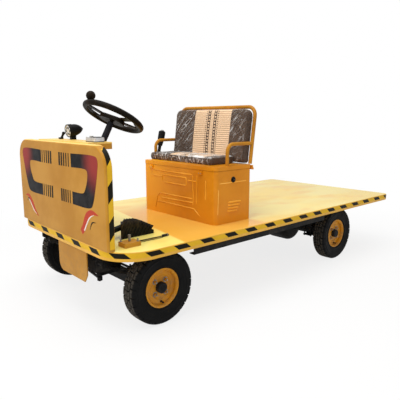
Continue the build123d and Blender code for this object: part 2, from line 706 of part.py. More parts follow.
COLUMN_TOP = -38.0
COLUMN_LENGTH = 455.0
BRACKET_Z = (DASH_BOTTOM - 77.0, DASH_BOTTOM)
BRACKET_X = (DASH_REAR - 20.0, DASH_REAR + 50.0)
BRACKET_WIDTH = 60.0
COLUMN_FOOT = tilted(COLUMN_TOP - COLUMN_LENGTH).origin
STAY_RISE = 34.8456
STAY_AHEAD = 8.0034
STAY_X = COLUMN_FOOT.X - STAY_RISE * math.tan(math.radians(WHEEL_TILT)) + STAY_AHEAD
STAY_Z = COLUMN_FOOT.Z + STAY_RISE
STAY_SIZE = (50.0, 40.0)
with BuildPart() as steering_column:
    with BuildSketch(tilted(COLUMN_TOP - COLUMN_LENGTH)):
        Circle(COLUMN_R)
    extrude(amount=COLUMN_LENGTH)
    with Locations((sum(BRACKET_X) / 2, WHEEL_CENTRE[1], sum(BRACKET_Z) / 2)):
        Box(BRACKET_X[1] - BRACKET_X[0], BRACKET_WIDTH, BRACKET_Z[1] - BRACKET_Z[0])
    with Locations(((STAY_X + COWL_INNER) / 2, WHEEL_CENTRE[1], STAY_Z)):
        Box(COWL_INNER - STAY_X, *STAY_SIZE)
    with BuildSketch(tilted(COLUMN_TOP - COLUMN_LENGTH)):
        Circle(SHAFT_R + PIN_FIT)
    extrude(amount=COLUMN_LENGTH, mode=Mode.SUBTRACT)
export(steering_column, "steering_column")

RIM_MIDDLE_R = WHEEL_R - WHEEL_RIM_R
PAIR_ANGLES = (130.0, -50.0)
SPOKE_SPREAD = 28.0
SPOKE = (8.0, 34.0)
PAD_SIZE = (150.0, 95.0)
PAD_THICK = 28.0
PAD_CORNER_R = 38.0
PAD_EDGE_R = 9.0
WING_DEPTH = 34.0
WING_THICK = 8.0
KNOB_ANGLE = -8.0
SEAM_ANGLE = 40.0
KNOB_FOOT = 5.0
KNOB_Z = 44.0
KNOB_NECK_R = 9.0
KNOB_R = 27.0
HUB_DROP = 30.0
SHAFT_TOP_DROP = 10.0
SHAFT_END = 20.0


def on_wheel(angle, radius, height=0.0):
    """Point on the steering wheel: angle from straight ahead, radius, height along the axis."""
    return tilted(height).from_local_coords((*in_plane(angle, radius), 0))


def in_plane(angle, radius):
    """Place in a plane across the steering axis: angle from straight ahead and radius."""
    turn = math.radians(angle)
    return (radius * math.sin(turn), -radius * math.cos(turn))


with BuildPart() as steering_wheel:
    with BuildSketch(tilted(-HUB_DROP)) as pad:
        Rectangle(*PAD_SIZE, rotation=PAIR_ANGLES[0] - 90)
        fillet(pad.vertices(), PAD_CORNER_R)
    extrude(amount=PAD_THICK)
    pad_top = steering_wheel.faces().sort_by(Axis(WHEEL_CENTRE, steering_axis()))[-1]
    fillet(pad_top.edges(), PAD_EDGE_R)
    radial = on_wheel(SEAM_ANGLE, 1) - Vector(WHEEL_CENTRE)
    with BuildSketch(Plane(WHEEL_CENTRE, x_dir=radial, z_dir=radial.cross(Vector(steering_axis())))):
        with Locations((RIM_MIDDLE_R, 0)):
            Circle(WHEEL_RIM_R)
    revolve(axis=Axis(WHEEL_CENTRE, steering_axis()))
    with BuildSketch(tilted(COLUMN_TOP - COLUMN_LENGTH - SHAFT_END)):
        Circle(SHAFT_R)
    extrude(amount=COLUMN_LENGTH + SHAFT_END - COLUMN_TOP - SHAFT_TOP_DROP)
    for middle in PAIR_ANGLES:
        for angle in (middle - SPOKE_SPREAD, middle + SPOKE_SPREAD):
            outer = on_wheel(angle, RIM_MIDDLE_R)
            inner = on_wheel(angle, KNOB_NECK_R, -PAD_THICK / 2)
            along = outer - inner
            with BuildSketch(Plane(inner, x_dir=steering_axis(), z_dir=along)):
                Rectangle(*SPOKE)
            extrude(amount=along.length)
        with BuildSketch(tilted(-WING_THICK)):
            with BuildLine():
                ends = (
                    in_plane(middle - SPOKE_SPREAD, RIM_MIDDLE_R),
                    in_plane(middle + SPOKE_SPREAD, RIM_MIDDLE_R),
                )
                ThreePointArc(ends[0], in_plane(middle, RIM_MIDDLE_R), ends[1])
                ThreePointArc(ends[1], in_plane(middle, RIM_MIDDLE_R - WING_DEPTH), ends[0])
            make_face()
        extrude(amount=WING_THICK)
    knob_plane = Plane(
        on_wheel(KNOB_ANGLE, RIM_MIDDLE_R),
        x_dir=radial,
        z_dir=radial.cross(Vector(steering_axis())),
    )
    neck_z = KNOB_Z - math.sqrt(KNOB_R**2 - KNOB_NECK_R**2)
    with BuildSketch(knob_plane):
        with BuildLine():
            Polyline((0, KNOB_Z + KNOB_R), (0, KNOB_FOOT), (KNOB_NECK_R, KNOB_FOOT), (KNOB_NECK_R, neck_z))
            ThreePointArc((KNOB_NECK_R, neck_z), (KNOB_R, KNOB_Z), (0, KNOB_Z + KNOB_R))
        make_face()
    revolve(axis=Axis(knob_plane.origin, steering_axis()))
export(steering_wheel, "steering_wheel")

JOINT = on_wheel(0, 0, COLUMN_TOP - COLUMN_LENGTH - SHAFT_END - 25)
JOINT_R = 22.0
with BuildPart() as steering_shaft:
    along = Vector(SHAFT_FOOT) - JOINT
    with BuildSketch(Plane(JOINT, z_dir=along)):
        Circle(SHAFT_R)
    extrude(amount=along.length)
    with Locations(JOINT):
        Sphere(JOINT_R)
export(steering_shaft, "steering_shaft")

PEDAL_X = (FRONT_X - 400.0, FRONT_X - 180.0)
PEDAL_Y = (310.0, 385.0)
PEDAL_RIDGE = (115.0, 78.0)
PEDAL_HEEL = 20.0
PEDAL_TOE = 86.0
PEDAL_SLANT = 45.0
PEDAL_ARM_Y = (330.0, 362.0)
PEDAL_ARM_THICK = 22.0
PEDAL_ARM_END = FRONT_X - 40.0
with BuildPart() as foot_pedal:
    with BuildSketch(Plane.XZ.offset(-PEDAL_Y[1])):
        with BuildLine():
            Polyline(
                (PEDAL_X[0], DECK_TOP),
                (PEDAL_X[0], DECK_TOP + PEDAL_HEEL),
                (PEDAL_X[0] + PEDAL_RIDGE[0], DECK_TOP + PEDAL_RIDGE[1]),
                (PEDAL_X[1], DECK_TOP + PEDAL_TOE),
                (PEDAL_X[1], DECK_TOP),
                close=True,
            )
        make_face()
    extrude(amount=PEDAL_Y[1] - PEDAL_Y[0])
    with BuildSketch(Plane.XY.offset(DECK_TOP)):
        with BuildLine():
            Polyline(
                (PEDAL_X[1], PEDAL_Y[1]),
                (PEDAL_X[1] + 1, PEDAL_Y[0] - 1),
                (PEDAL_X[1] - PEDAL_SLANT, PEDAL_Y[0] - 1),
                close=True,
            )
        make_face()
    extrude(amount=PEDAL_TOE, mode=Mode.SUBTRACT)
    with BuildSketch(Plane.XZ.offset(-PEDAL_ARM_Y[1])):
        with BuildLine():
            Polyline(
                (PEDAL_X[1] - PEDAL_SLANT, DECK_TOP + PEDAL_TOE - 12),
                (PEDAL_X[1] - PEDAL_SLANT, DECK_TOP + PEDAL_TOE - 12 - PEDAL_ARM_THICK),
                (PEDAL_ARM_END - PEDAL_ARM_THICK, DECK_TOP + PEDAL_HEEL),
                (PEDAL_ARM_END - PEDAL_ARM_THICK, DECK_TOP),
                (PEDAL_ARM_END, DECK_TOP),
                (PEDAL_ARM_END, DECK_TOP + 2 * PEDAL_HEEL),
                close=True,
            )
        make_face()
    extrude(amount=PEDAL_ARM_Y[1] - PEDAL_ARM_Y[0])
export(foot_pedal, "foot_pedal")

BLOCK_PLACE = (FRONT_X - 151.0, (PEDAL_Y[1] + SIDE_Y) / 2 - 7.0)
BLOCK_SIZE = (94.0, 70.0, 24.0)
BLOCK_PIN = (7.0, 36.0)
with BuildPart() as parking_pedal:
    with Locations((*BLOCK_PLACE, DECK_TOP + BLOCK_SIZE[2] / 2)):
        Box(*BLOCK_SIZE)
    with Locations((*BLOCK_PLACE, DECK_TOP + BLOCK_SIZE[2] + BLOCK_PIN[1] / 2)):
        Cylinder(*BLOCK_PIN)
export(parking_pedal, "parking_pedal")


# Seat box, lid, seat and hand brake
BOX_MID = ((BOX_REAR + BOX_FRONT) / 2, (BOX_RIGHT + BOX_LEFT) / 2)
BOX_SIZE = (BOX_FRONT - BOX_REAR, BOX_LEFT - BOX_RIGHT)
BOX_CORNER_R = 30.0


def box_plan(height, inset):
    """Seat box outline seen from above, at a height, drawn in by inset."""
    with BuildSketch(Plane.XY.offset(height)) as outline:
        with Locations(BOX_MID):
            Rectangle(BOX_SIZE[0] - 2 * inset, BOX_SIZE[1] - 2 * inset)
        fillet(outline.vertices(), BOX_CORNER_R - inset)
    return outline.sketch


with BuildPart() as seat_box:
    extrude(box_plan(DECK_TOP, 0), amount=BOX_TOP - DECK_TOP)
    extrude(box_plan(DECK_TOP + BOX_SHEET, BOX_SHEET), amount=BOX_TOP - DECK_TOP, mode=Mode.SUBTRACT)
export(seat_box, "seat_box")

BATTERY = (270.0, BOX_LEFT - BOX_RIGHT - 89.0, 270.0)
with BuildPart() as battery_pack:
    with Locations((BOX_MID[0], BOX_MID[1], DECK_TOP + BOX_SHEET + BATTERY[2] / 2)):
        Box(*BATTERY)
export(battery_pack, "battery_pack")

HINGE_Y = (BOX_RIGHT + 42.0, BOX_LEFT - 42.0)
HINGE_PIN_R = 3.0
HINGE_EYE_R = 7.0
HINGE_EYE = 28.0
HINGE_GAP = 1.0
HINGE_LEAF = 40.0
HINGE_LUG = (11.0, 22.0)
LID_OVERHANG = 2.0
with BuildPart() as box_hinges:
    for y in HINGE_Y:
        with Locations((HINGE_PIN[0], y, HINGE_PIN[1])):
            Cylinder(HINGE_EYE_R, HINGE_EYE, rotation=(90, 0, 0))
            Cylinder(HINGE_PIN_R, 3 * HINGE_EYE + 4 * HINGE_GAP, rotation=(90, 0, 0))
        with Locations(((HINGE_PIN[0] + BOX_REAR) / 2, y, HINGE_PIN[1] - HINGE_LEAF / 2)):
            Box(BOX_REAR - HINGE_PIN[0], HINGE_EYE, HINGE_LEAF)
export(box_hinges, "box_hinges")

with BuildPart() as seat_lid:
    extrude(box_plan(LID_BOTTOM, -LID_OVERHANG), amount=LID_TOP - LID_BOTTOM)
    extrude(box_plan(LID_BOTTOM, BOX_SHEET), amount=LID_TOP - LID_BOTTOM - BOX_SHEET, mode=Mode.SUBTRACT)
    for y in HINGE_Y:
        for step in (-1, 1):
            eye_y = y + step * (HINGE_EYE + HINGE_GAP)
            with Locations((HINGE_PIN[0], eye_y, HINGE_PIN[1])):
                Cylinder(HINGE_EYE_R, HINGE_EYE, rotation=(90, 0, 0))
            with Locations(
                (HINGE_PIN[0] + HINGE_LUG[0] / 2, eye_y, HINGE_PIN[1] + HINGE_LUG[1] / 2),
            ):
                Box(HINGE_LUG[0], HINGE_EYE, HINGE_LUG[1])
            with Locations((HINGE_PIN[0], eye_y, HINGE_PIN[1])):
                Cylinder(HINGE_PIN_R + PIN_FIT, HINGE_EYE, rotation=(90, 0, 0), mode=Mode.SUBTRACT)
export(seat_lid, "seat_lid")

BACK_FOOT = (262.0, LID_TOP)
BACK_RISE = 368.0
BACK_TOP = (216.0, LID_TOP + BACK_RISE)
HOOP_BEND_R = 60.0
ARM_HEIGHT = LID_TOP + 134.0
ARM_FRONT = 476.0
ARM_BEND_R = 50.0


def lean(height):
    """Distance from the truck's middle of the backrest frame at a height."""
    share = (height - BACK_FOOT[1]) / (BACK_TOP[1] - BACK_FOOT[1])
    return BACK_FOOT[0] + share * (BACK_TOP[0] - BACK_FOOT[0])


with BuildPart() as seat_frame:
    right = SEAT_Y - SEAT_HALF
    left = SEAT_Y + SEAT_HALF
    with BuildLine():
        hoop = FilletPolyline(
            (lean(LID_TOP), right, LID_TOP),
            (lean(BACK_TOP[1]), right, BACK_TOP[1]),
            (lean(BACK_TOP[1]), left, BACK_TOP[1]),
            (lean(LID_TOP), left, LID_TOP),
            radius=HOOP_BEND_R,
        )
    with BuildSketch(Plane(hoop @ 0, z_dir=hoop % 0)):
        Circle(TUBE_R)
    sweep()
    for y in (right, left):
        with BuildLine():
            arm = FilletPolyline(
                (lean(ARM_HEIGHT), y, ARM_HEIGHT),
                (ARM_FRONT, y, ARM_HEIGHT),
                (ARM_FRONT, y, LID_TOP),
                radius=ARM_BEND_R,
            )
        with BuildSketch(Plane(arm @ 0, z_dir=arm % 0)):
            Circle(TUBE_R - 1)
        sweep()
export(seat_frame, "seat_frame")

BACK_THICK = 60.0
BACK_REAR = 2.0
BACK_BOTTOM = LID_TOP + 3.0
FRAME_GAP = 0.2
BACK_CUSHION_TOP = BACK_TOP[1] - TUBE_R - FRAME_GAP
BACK_HALF = SEAT_HALF - TUBE_R - FRAME_GAP
BACK_CORNER_R = HOOP_BEND_R - TUBE_R
with BuildPart() as backrest_cushion:
    with BuildSketch(Plane.XZ.offset(-(SEAT_Y + BACK_HALF))):
        with BuildLine():
            Polyline(
                (lean(BACK_BOTTOM) + BACK_REAR, BACK_BOTTOM),
                (lean(BACK_BOTTOM) + BACK_REAR + BACK_THICK, BACK_BOTTOM),
                (lean(BACK_CUSHION_TOP) + BACK_REAR + BACK_THICK, BACK_CUSHION_TOP),
                (lean(BACK_CUSHION_TOP) + BACK_REAR, BACK_CUSHION_TOP),
                close=True,
            )
        make_face()
    extrude(amount=2 * BACK_HALF)
    top_ends = backrest_cushion.edges().group_by(Axis.Z)[-1].sort_by(Axis.Y)
    fillet((top_ends[0], top_ends[-1]), BACK_CORNER_R)
export(backrest_cushion, "backrest_cushion")

CUSHION_TOP = LID_TOP + 46.0
CUSHION_X = (BACK_FOOT[0] + BACK_REAR + BACK_THICK + 2.0, 540.0)
CUSHION_Y = (SEAT_Y - BACK_HALF, BOX_LEFT - 110.0)
CUSHION_EDGE_R = 10.0
with BuildPart() as seat_cushion:
    with Locations((sum(CUSHION_X) / 2, sum(CUSHION_Y) / 2, (LID_TOP + CUSHION_TOP) / 2)):
        Box(CUSHION_X[1] - CUSHION_X[0], CUSHION_Y[1] - CUSHION_Y[0], CUSHION_TOP - LID_TOP)
    fillet(seat_cushion.edges().filter_by(Axis.Z), CUSHION_EDGE_R)
    fillet(seat_cushion.faces().sort_by(Axis.Z)[-1].edges(), CUSHION_EDGE_R)
export(seat_cushion, "seat_cushion")

LEVER_Y = BOX_RIGHT - 83.0
LEVER_X = 430.0
LEVER_PIVOT_Z = 700.0
LEVER_PLATE = (60.0, 80.0)
LEVER_BEND_Z = 850.0
LEVER_TOP = (374.0, 1018.0)
LEVER_R = 12.0
GRIP_R = (17.0, 26.0)
GRIP_WAIST = 55.0
GRIP_LENGTH = 115.0
GRIP_END_R = 14.0
GRIP_OVER = 15.0
with BuildPart() as hand_brake:
    with Locations((LEVER_X, (BOX_RIGHT + LEVER_Y) / 2, LEVER_PIVOT_Z)):
        Box(LEVER_PLATE[0], BOX_RIGHT - LEVER_Y, LEVER_PLATE[1])
    with BuildLine():
        lever = FilletPolyline(
            (LEVER_X, LEVER_Y, LEVER_PIVOT_Z),
            (LEVER_X - 18, LEVER_Y, LEVER_BEND_Z),
            (LEVER_TOP[0], LEVER_Y, LEVER_TOP[1]),
            radius=HOOP_BEND_R,
        )
    with BuildSketch(Plane(lever @ 0, z_dir=lever % 0)):
        Circle(LEVER_R)
    sweep()
    grip_axis = lever % 1
    grip_foot = lever @ 1 - grip_axis * (GRIP_LENGTH - GRIP_OVER)
    low = (Align.CENTER, Align.CENTER, Align.MIN)
    with Locations(Plane(grip_foot, z_dir=grip_axis)):
        Cone(*GRIP_R, GRIP_WAIST, align=low)
    with Locations(Plane(grip_foot + grip_axis * GRIP_WAIST, z_dir=grip_axis)):
        Cylinder(GRIP_R[1], GRIP_LENGTH - GRIP_WAIST, align=low)
    grip_end = hand_brake.faces().sort_by(Axis(grip_foot, grip_axis))[-1]
    fillet(grip_end.edges(), GRIP_END_R)
export(hand_brake, "hand_brake")

LATCH_Y = (BOX_RIGHT + 97.0, BOX_LEFT - 132.0)
LATCH_SIZE = (10.0, 34.0, 24.0)
LATCH_DROP = 14.0
with BuildPart() as box_latches:
    for y in LATCH_Y:
        with Locations((BOX_FRONT + LATCH_SIZE[0] / 2, y, BOX_TOP - LATCH_DROP)):
            Box(*LATCH_SIZE)
export(box_latches, "box_latches")
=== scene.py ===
"""Looks of the electric platform truck: paint, warning tape, tread, seat covers and small fittings.

Metres, in the frame of the part: +X forward, +Y to the driver's left, +Z up from the ground.
"""
from __future__ import annotations

import logging
import math
from abc import ABC, abstractmethod
from dataclasses import dataclass
from enum import Enum

import bmesh
import bpy
import numpy as np
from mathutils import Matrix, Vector


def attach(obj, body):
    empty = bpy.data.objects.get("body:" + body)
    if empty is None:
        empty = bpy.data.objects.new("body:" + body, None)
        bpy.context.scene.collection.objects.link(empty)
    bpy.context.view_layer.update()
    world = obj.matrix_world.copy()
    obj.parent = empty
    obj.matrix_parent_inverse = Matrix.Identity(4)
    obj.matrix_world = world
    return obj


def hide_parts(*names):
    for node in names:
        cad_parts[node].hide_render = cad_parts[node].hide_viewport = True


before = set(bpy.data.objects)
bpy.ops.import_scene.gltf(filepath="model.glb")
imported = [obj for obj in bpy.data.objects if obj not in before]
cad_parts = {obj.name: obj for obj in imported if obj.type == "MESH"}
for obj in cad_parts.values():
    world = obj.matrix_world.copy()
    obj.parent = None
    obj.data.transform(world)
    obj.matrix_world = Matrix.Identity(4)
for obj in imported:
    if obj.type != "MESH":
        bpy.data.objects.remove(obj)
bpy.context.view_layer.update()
LOG = logging.getLogger("platform_truck")
Array = np.ndarray
Socket = bpy.types.NodeSocket
Colour = tuple[float, float, float]
Place = tuple[float, float, float]
Flat = tuple[float, float]
AHEAD, LEFT, UP = (1.0, 0.0, 0.0), (0.0, 1.0, 0.0), (0.0, 0.0, 1.0)
LEVEL = np.eye(3)
FILM = (0.0001, 0.0005)
TOP_FILM = (0.0004, 0.0008)


# Surfaces as arrays


@dataclass
class Shell:
    """Points and four-sided faces of a surface before it becomes a mesh.

    Args:
        points: (n, 3) places in metres.
        faces: (m, 4) indices of each face's corners, anticlockwise seen from outside.
    """

    points: Array
    faces: Array


def joined(shells: list[Shell]) -> Shell:
    """Several shells as one.

    Args:
        shells: the shells, in any order.

    Returns:
        One shell with the points and faces of all.
    """
    starts = np.cumsum([0] + [len(s.points) for s in shells[:-1]])
    points = np.concatenate([s.points for s in shells])
    faces = np.concatenate([s.faces + start for s, start in zip(shells, starts)])
    return Shell(points, faces)


def grid_faces(rows: int, columns: int, close_rows: bool, close_columns: bool) -> Array:
    """Faces of a grid of points: each joins a point to the next in its row and column.

    Args:
        rows: number of points along the first parameter.
        columns: number of points along the second parameter.
        close_rows: whether the last row joins the first.
        close_columns: whether the last column joins the first.

    Returns:
        (m, 4) corner indices.
    """
    u = np.arange(rows if close_rows else rows - 1)
    v = np.arange(columns if close_columns else columns - 1)
    u, v = (a.ravel() for a in np.meshgrid(u, v, indexing="ij"))
    next_u, next_v = (u + 1) % rows, (v + 1) % columns
    corners = [u * columns + v, next_u * columns + v, next_u * columns + next_v, u * columns + next_v]
    return np.stack(corners, axis=1)


def grid_shell(points: Array, close_rows: bool = False, close_columns: bool = False) -> Shell:
    """A (rows, columns, 3) array of points as a shell."""
    rows, columns, _ = points.shape
    return Shell(points.reshape(-1, 3), grid_faces(rows, columns, close_rows, close_columns))


def plate(points: Array, normals: Array, low: float, high: float) -> Shell:
    """Closed thin plate on a surface: the grid moved out by low and by high, and a rim between them.

    Args:
        points: (rows, columns, 3) points of the carrying surface.
        normals: unit normals of that surface, of the same shape or one vector.
        low: distance of the hidden face from the surface.
        high: distance of the shown face from the surface.

    Returns:
        The closed plate.
    """
    rows, columns, _ = points.shape
    count = rows * columns
    index = np.arange(count).reshape(rows, columns)
    edge = np.concatenate([index[0, :-1], index[:-1, -1], index[-1, :0:-1], index[:0:-1, 0]])
    following = np.roll(edge, -1)
    rim = np.stack([edge, following, following + count, edge + count], axis=1)
    face = grid_faces(rows, columns, False, False)
    both = np.concatenate([points + normals * high, points + normals * low]).reshape(-1, 3)
    return Shell(both, np.concatenate([face, face[:, ::-1] + count, rim]))


def lathe(profile: Array, steps: int, centre: Place, axis: Place = UP, start: Place = AHEAD) -> Shell:
    """Surface of revolution: each (radius, height) of the profile goes round the axis.

    Args:
        profile: (k, 2) radii and heights along the axis.
        steps: points round the axis.
        centre: point on the axis where the height is nought.
        axis: unit direction of the axis.
        start: unit direction of angle nought, square to the axis.

    Returns:
        The shell; a radius of nought at an end closes it there.
    """
    profile, axis, start = (np.asarray(value, float) for value in (profile, axis, start))
    angle = np.linspace(0, 2 * math.pi, steps, endpoint=False)[:, None, None]
    ring = np.cos(angle) * start + np.sin(angle) * np.cross(axis, start)
    radius, height = profile[None, :, 0, None], profile[None, :, 1, None]
    return grid_shell(np.asarray(centre) + radius * ring + height * axis, close_rows=True)


def swept(path: Array, section: Array, up: Array, scale: Array | None = None) -> Shell:
    """A closed profile carried along a path, square to it, and closed to a point at both ends.

    Args:
        path: (n, 3) points of the path.
        section: (m, 2) profile; its second axis stays nearest to up.
        up: direction that no stretch of the path runs along.
        scale: (n,) size of the profile along the path.

    Returns:
        The closed shell.
    """
    path = np.asarray(path, float)
    tangent = np.gradient(path, axis=0)
    tangent /= np.linalg.norm(tangent, axis=1, keepdims=True)
    side = np.cross(tangent, np.asarray(up, float))
    side /= np.linalg.norm(side, axis=1, keepdims=True)
    top = np.cross(side, tangent)
    scale = np.ones(len(path)) if scale is None else scale
    size = scale[:, None, None]
    ring = section[None, :, :1] * side[:, None] + section[None, :, 1:] * top[:, None]
    rings = path[:, None] + size * ring
    ends = [np.broadcast_to(p, (1, len(section), 3)) for p in (path[0], path[-1])]
    return grid_shell(np.concatenate([ends[0], rings, ends[1]]), close_columns=True)


def circle(radius: float, steps: int = 16) -> Array:
    """(steps, 2) points round a circle."""
    angle = np.linspace(0, 2 * math.pi, steps, endpoint=False)
    return radius * np.stack([np.cos(angle), np.sin(angle)], axis=1)


def rounded_rectangle(half_x: float, half_y: float, radius: float, steps: int = 6) -> Array:
    """Rectangle with round corners: four quarter circles joined by straights.

    Args:
        half_x: half its size along x.
        half_y: half its size along y.
        radius: radius of the corners.
        steps: number of points on each quarter circle.

    Returns:
        (4 * steps, 2) points, counter-clockwise.
    """
    angle = np.linspace(0, math.pi / 2, steps)
    turns = np.concatenate([angle + quarter * math.pi / 2 for quarter in range(4)])
    sign_x = np.repeat([1, -1, -1, 1], steps)
    sign_y = np.repeat([1, 1, -1, -1], steps)
    x = sign_x * (half_x - radius) + radius * np.cos(turns)
    y = sign_y * (half_y - radius) + radius * np.sin(turns)
    return np.stack([x, y], axis=1)


def block(centre: Place, half: Place, radius: float, edge: float, axes: Array = LEVEL) -> Shell:
    """Block with round corners and softened edges: a rounded rectangle lofted along the third axis.

    Args:
        centre: middle of the block.
        half: half sizes along the axes.
        radius: radius of the corners round the third axis.
        edge: size of the softened edges at both ends.
        axes: three unit directions, one a row.

    Returns:
        The closed shell.
    """
    heights = np.array([-half[2], -half[2], 0.3 * edge - half[2], edge - half[2]])
    heights = np.concatenate([heights, -heights[::-1]])
    insets = edge * np.array([1.0, 1.0, 0.3, 0.0, 0.0, 0.3, 1.0, 1.0])
    flat = [rounded_rectangle(half[0] - i, half[1] - i, max(radius - i, 1e-4)) for i in insets]
    flat[0], flat[-1] = flat[0] * 0, flat[-1] * 0
    local = np.stack([np.insert(loop, 2, height, axis=1) for loop, height in zip(flat, heights)])
    return grid_shell(np.asarray(centre) + local @ np.asarray(axes, float), close_columns=True)


def resampled(line: Array, count: int) -> Array:
    """A line's points spread evenly along its length.

    Args:
        line: (n, k) points of an open line.
        count: number of points wanted.

    Returns:
        (count, k) points between the same two ends.
    """
    steps = np.linalg.norm(np.diff(line, axis=0), axis=1)
    length = np.concatenate([[0], np.cumsum(steps)])
    places = np.linspace(0, length[-1], count)
    return np.stack([np.interp(places, length, line[:, k]) for k in range(line.shape[1])], axis=1)


def smooth_line(corners: Array, rounds: int = 3) -> Array:
    """Corners of an open line cut round: each round puts points at a quarter and three quarters of every
    side in place of its ends, and keeps the line's own two ends.

    Args:
        corners: (n, k) corners of the line.
        rounds: how many times the corners are cut.

    Returns:
        The smoother line's points.
    """
    line = np.asarray(corners, float)
    for _ in range(rounds):
        near = 0.75 * line[:-1] + 0.25 * line[1:]
        far = 0.25 * line[:-1] + 0.75 * line[1:]
        middle = np.stack([near, far], axis=1).reshape(-1, line.shape[1])
        line = np.concatenate([line[:1], middle, line[-1:]])
    return line


def step_up(value: Array, low: float, high: float) -> Array:
    """Smooth step: 0 below low, 1 above high, and a cubic between them."""
    share = np.clip((value - low) / (high - low), 0, 1)
    return share * share * (3 - 2 * share)


def make_piece(
    name: str,
    shell: Shell,
    material: bpy.types.Material,
    body: str = "truck",
    sharp_above: float = 38.0,
) -> bpy.types.Object:
    """Put a shell into the scene as one piece that rides on a body.

    Args:
        name: the piece's name.
        shell: its surface.
        material: its finish.
        body: the body that carries it.
        sharp_above: angle in degrees above which an edge stays sharp.

    Returns:
        The new object.
    """
    mesh = bpy.data.meshes.new(name)
    mesh.from_pydata(shell.points.tolist(), [], shell.faces.tolist())
    work = bmesh.new()
    work.from_mesh(mesh)
    bmesh.ops.remove_doubles(work, verts=work.verts, dist=2e-6)
    bmesh.ops.dissolve_degenerate(work, edges=work.edges, dist=1e-6)
    bmesh.ops.recalc_face_normals(work, faces=work.faces)
    work.to_mesh(mesh)
    work.free()
    mesh.polygons.foreach_set("use_smooth", np.ones(len(mesh.polygons), bool))
    mesh.set_sharp_from_angle(angle=math.radians(sharp_above))
    mesh.materials.append(material)
    piece = bpy.data.objects.new(name, mesh)
    bpy.context.scene.collection.objects.link(piece)
    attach(piece, body)
    LOG.info("%s: %d faces on %s", name, len(mesh.polygons), body)
    return piece


# Finishes


class Nodes:
    """A node tree, with short ways to add nodes and to join them."""

    def __init__(self, tree: bpy.types.NodeTree) -> None:
        """Start with the tree empty."""
        self.tree = tree
        tree.nodes.clear()

    def add(self, kind: str, sockets: dict | None = None, **settings: object) -> bpy.types.Node:
        """Add a node.

        Args:
            kind: type of the node without its ShaderNode prefix.
            sockets: values or outputs for its inputs, by name or number.
            settings: the node's own properties.

        Returns:
            The node.
        """
        node = self.tree.nodes.new("ShaderNode" + kind)
        for key, value in settings.items():
            setattr(node, key, value)
        self.feed(node, sockets or {})
        return node

    def feed(self, node: bpy.types.Node, sockets: dict) -> None:
        """Give a node's inputs their values or the outputs that drive them.

        Args:
            node: the node.
            sockets: values or outputs for its inputs, by name or number.
        """
        for key, value in sockets.items():
            if isinstance(value, bpy.types.NodeSocket):
                self.tree.links.new(value, node.inputs[key])
            elif isinstance(value, tuple) and len(value) == 3 and node.inputs[key].type == "RGBA":
                node.inputs[key].default_value = (*value, 1.0)
            else:
                node.inputs[key].default_value = value

    def math(self, operation: str, *values: object) -> Socket:
        """Result of a mathematical operation on up to three values."""
        return self.add("Math", dict(enumerate(values)), operation=operation).outputs[0]

    def product(self, first: object, *others: object) -> Socket:
        """Values multiplied together.

        Args:
            first: a value or an output.
            others: the values or outputs that it is multiplied by.

        Returns:
            The product.
        """
        for other in others:
            first = self.math("MULTIPLY", first, other)
        return first

    def seen(self) -> tuple[Socket, Socket]:
        """How the set shows itself.

        Returns:
            Whether a ray comes from the camera, from a reflection or through glass, and the brightness
            that it meets: reflections get less, so that paint keeps its colour.
        """
        path = self.add("LightPath").outputs
        glossy = path["Is Glossy Ray"]
        indirect = self.math("MAXIMUM", glossy, path["Is Transmission Ray"])
        shown = self.math("MAXIMUM", path["Is Camera Ray"], indirect)
        return shown, self.math("MULTIPLY_ADD", glossy, -0.3, 1.0)


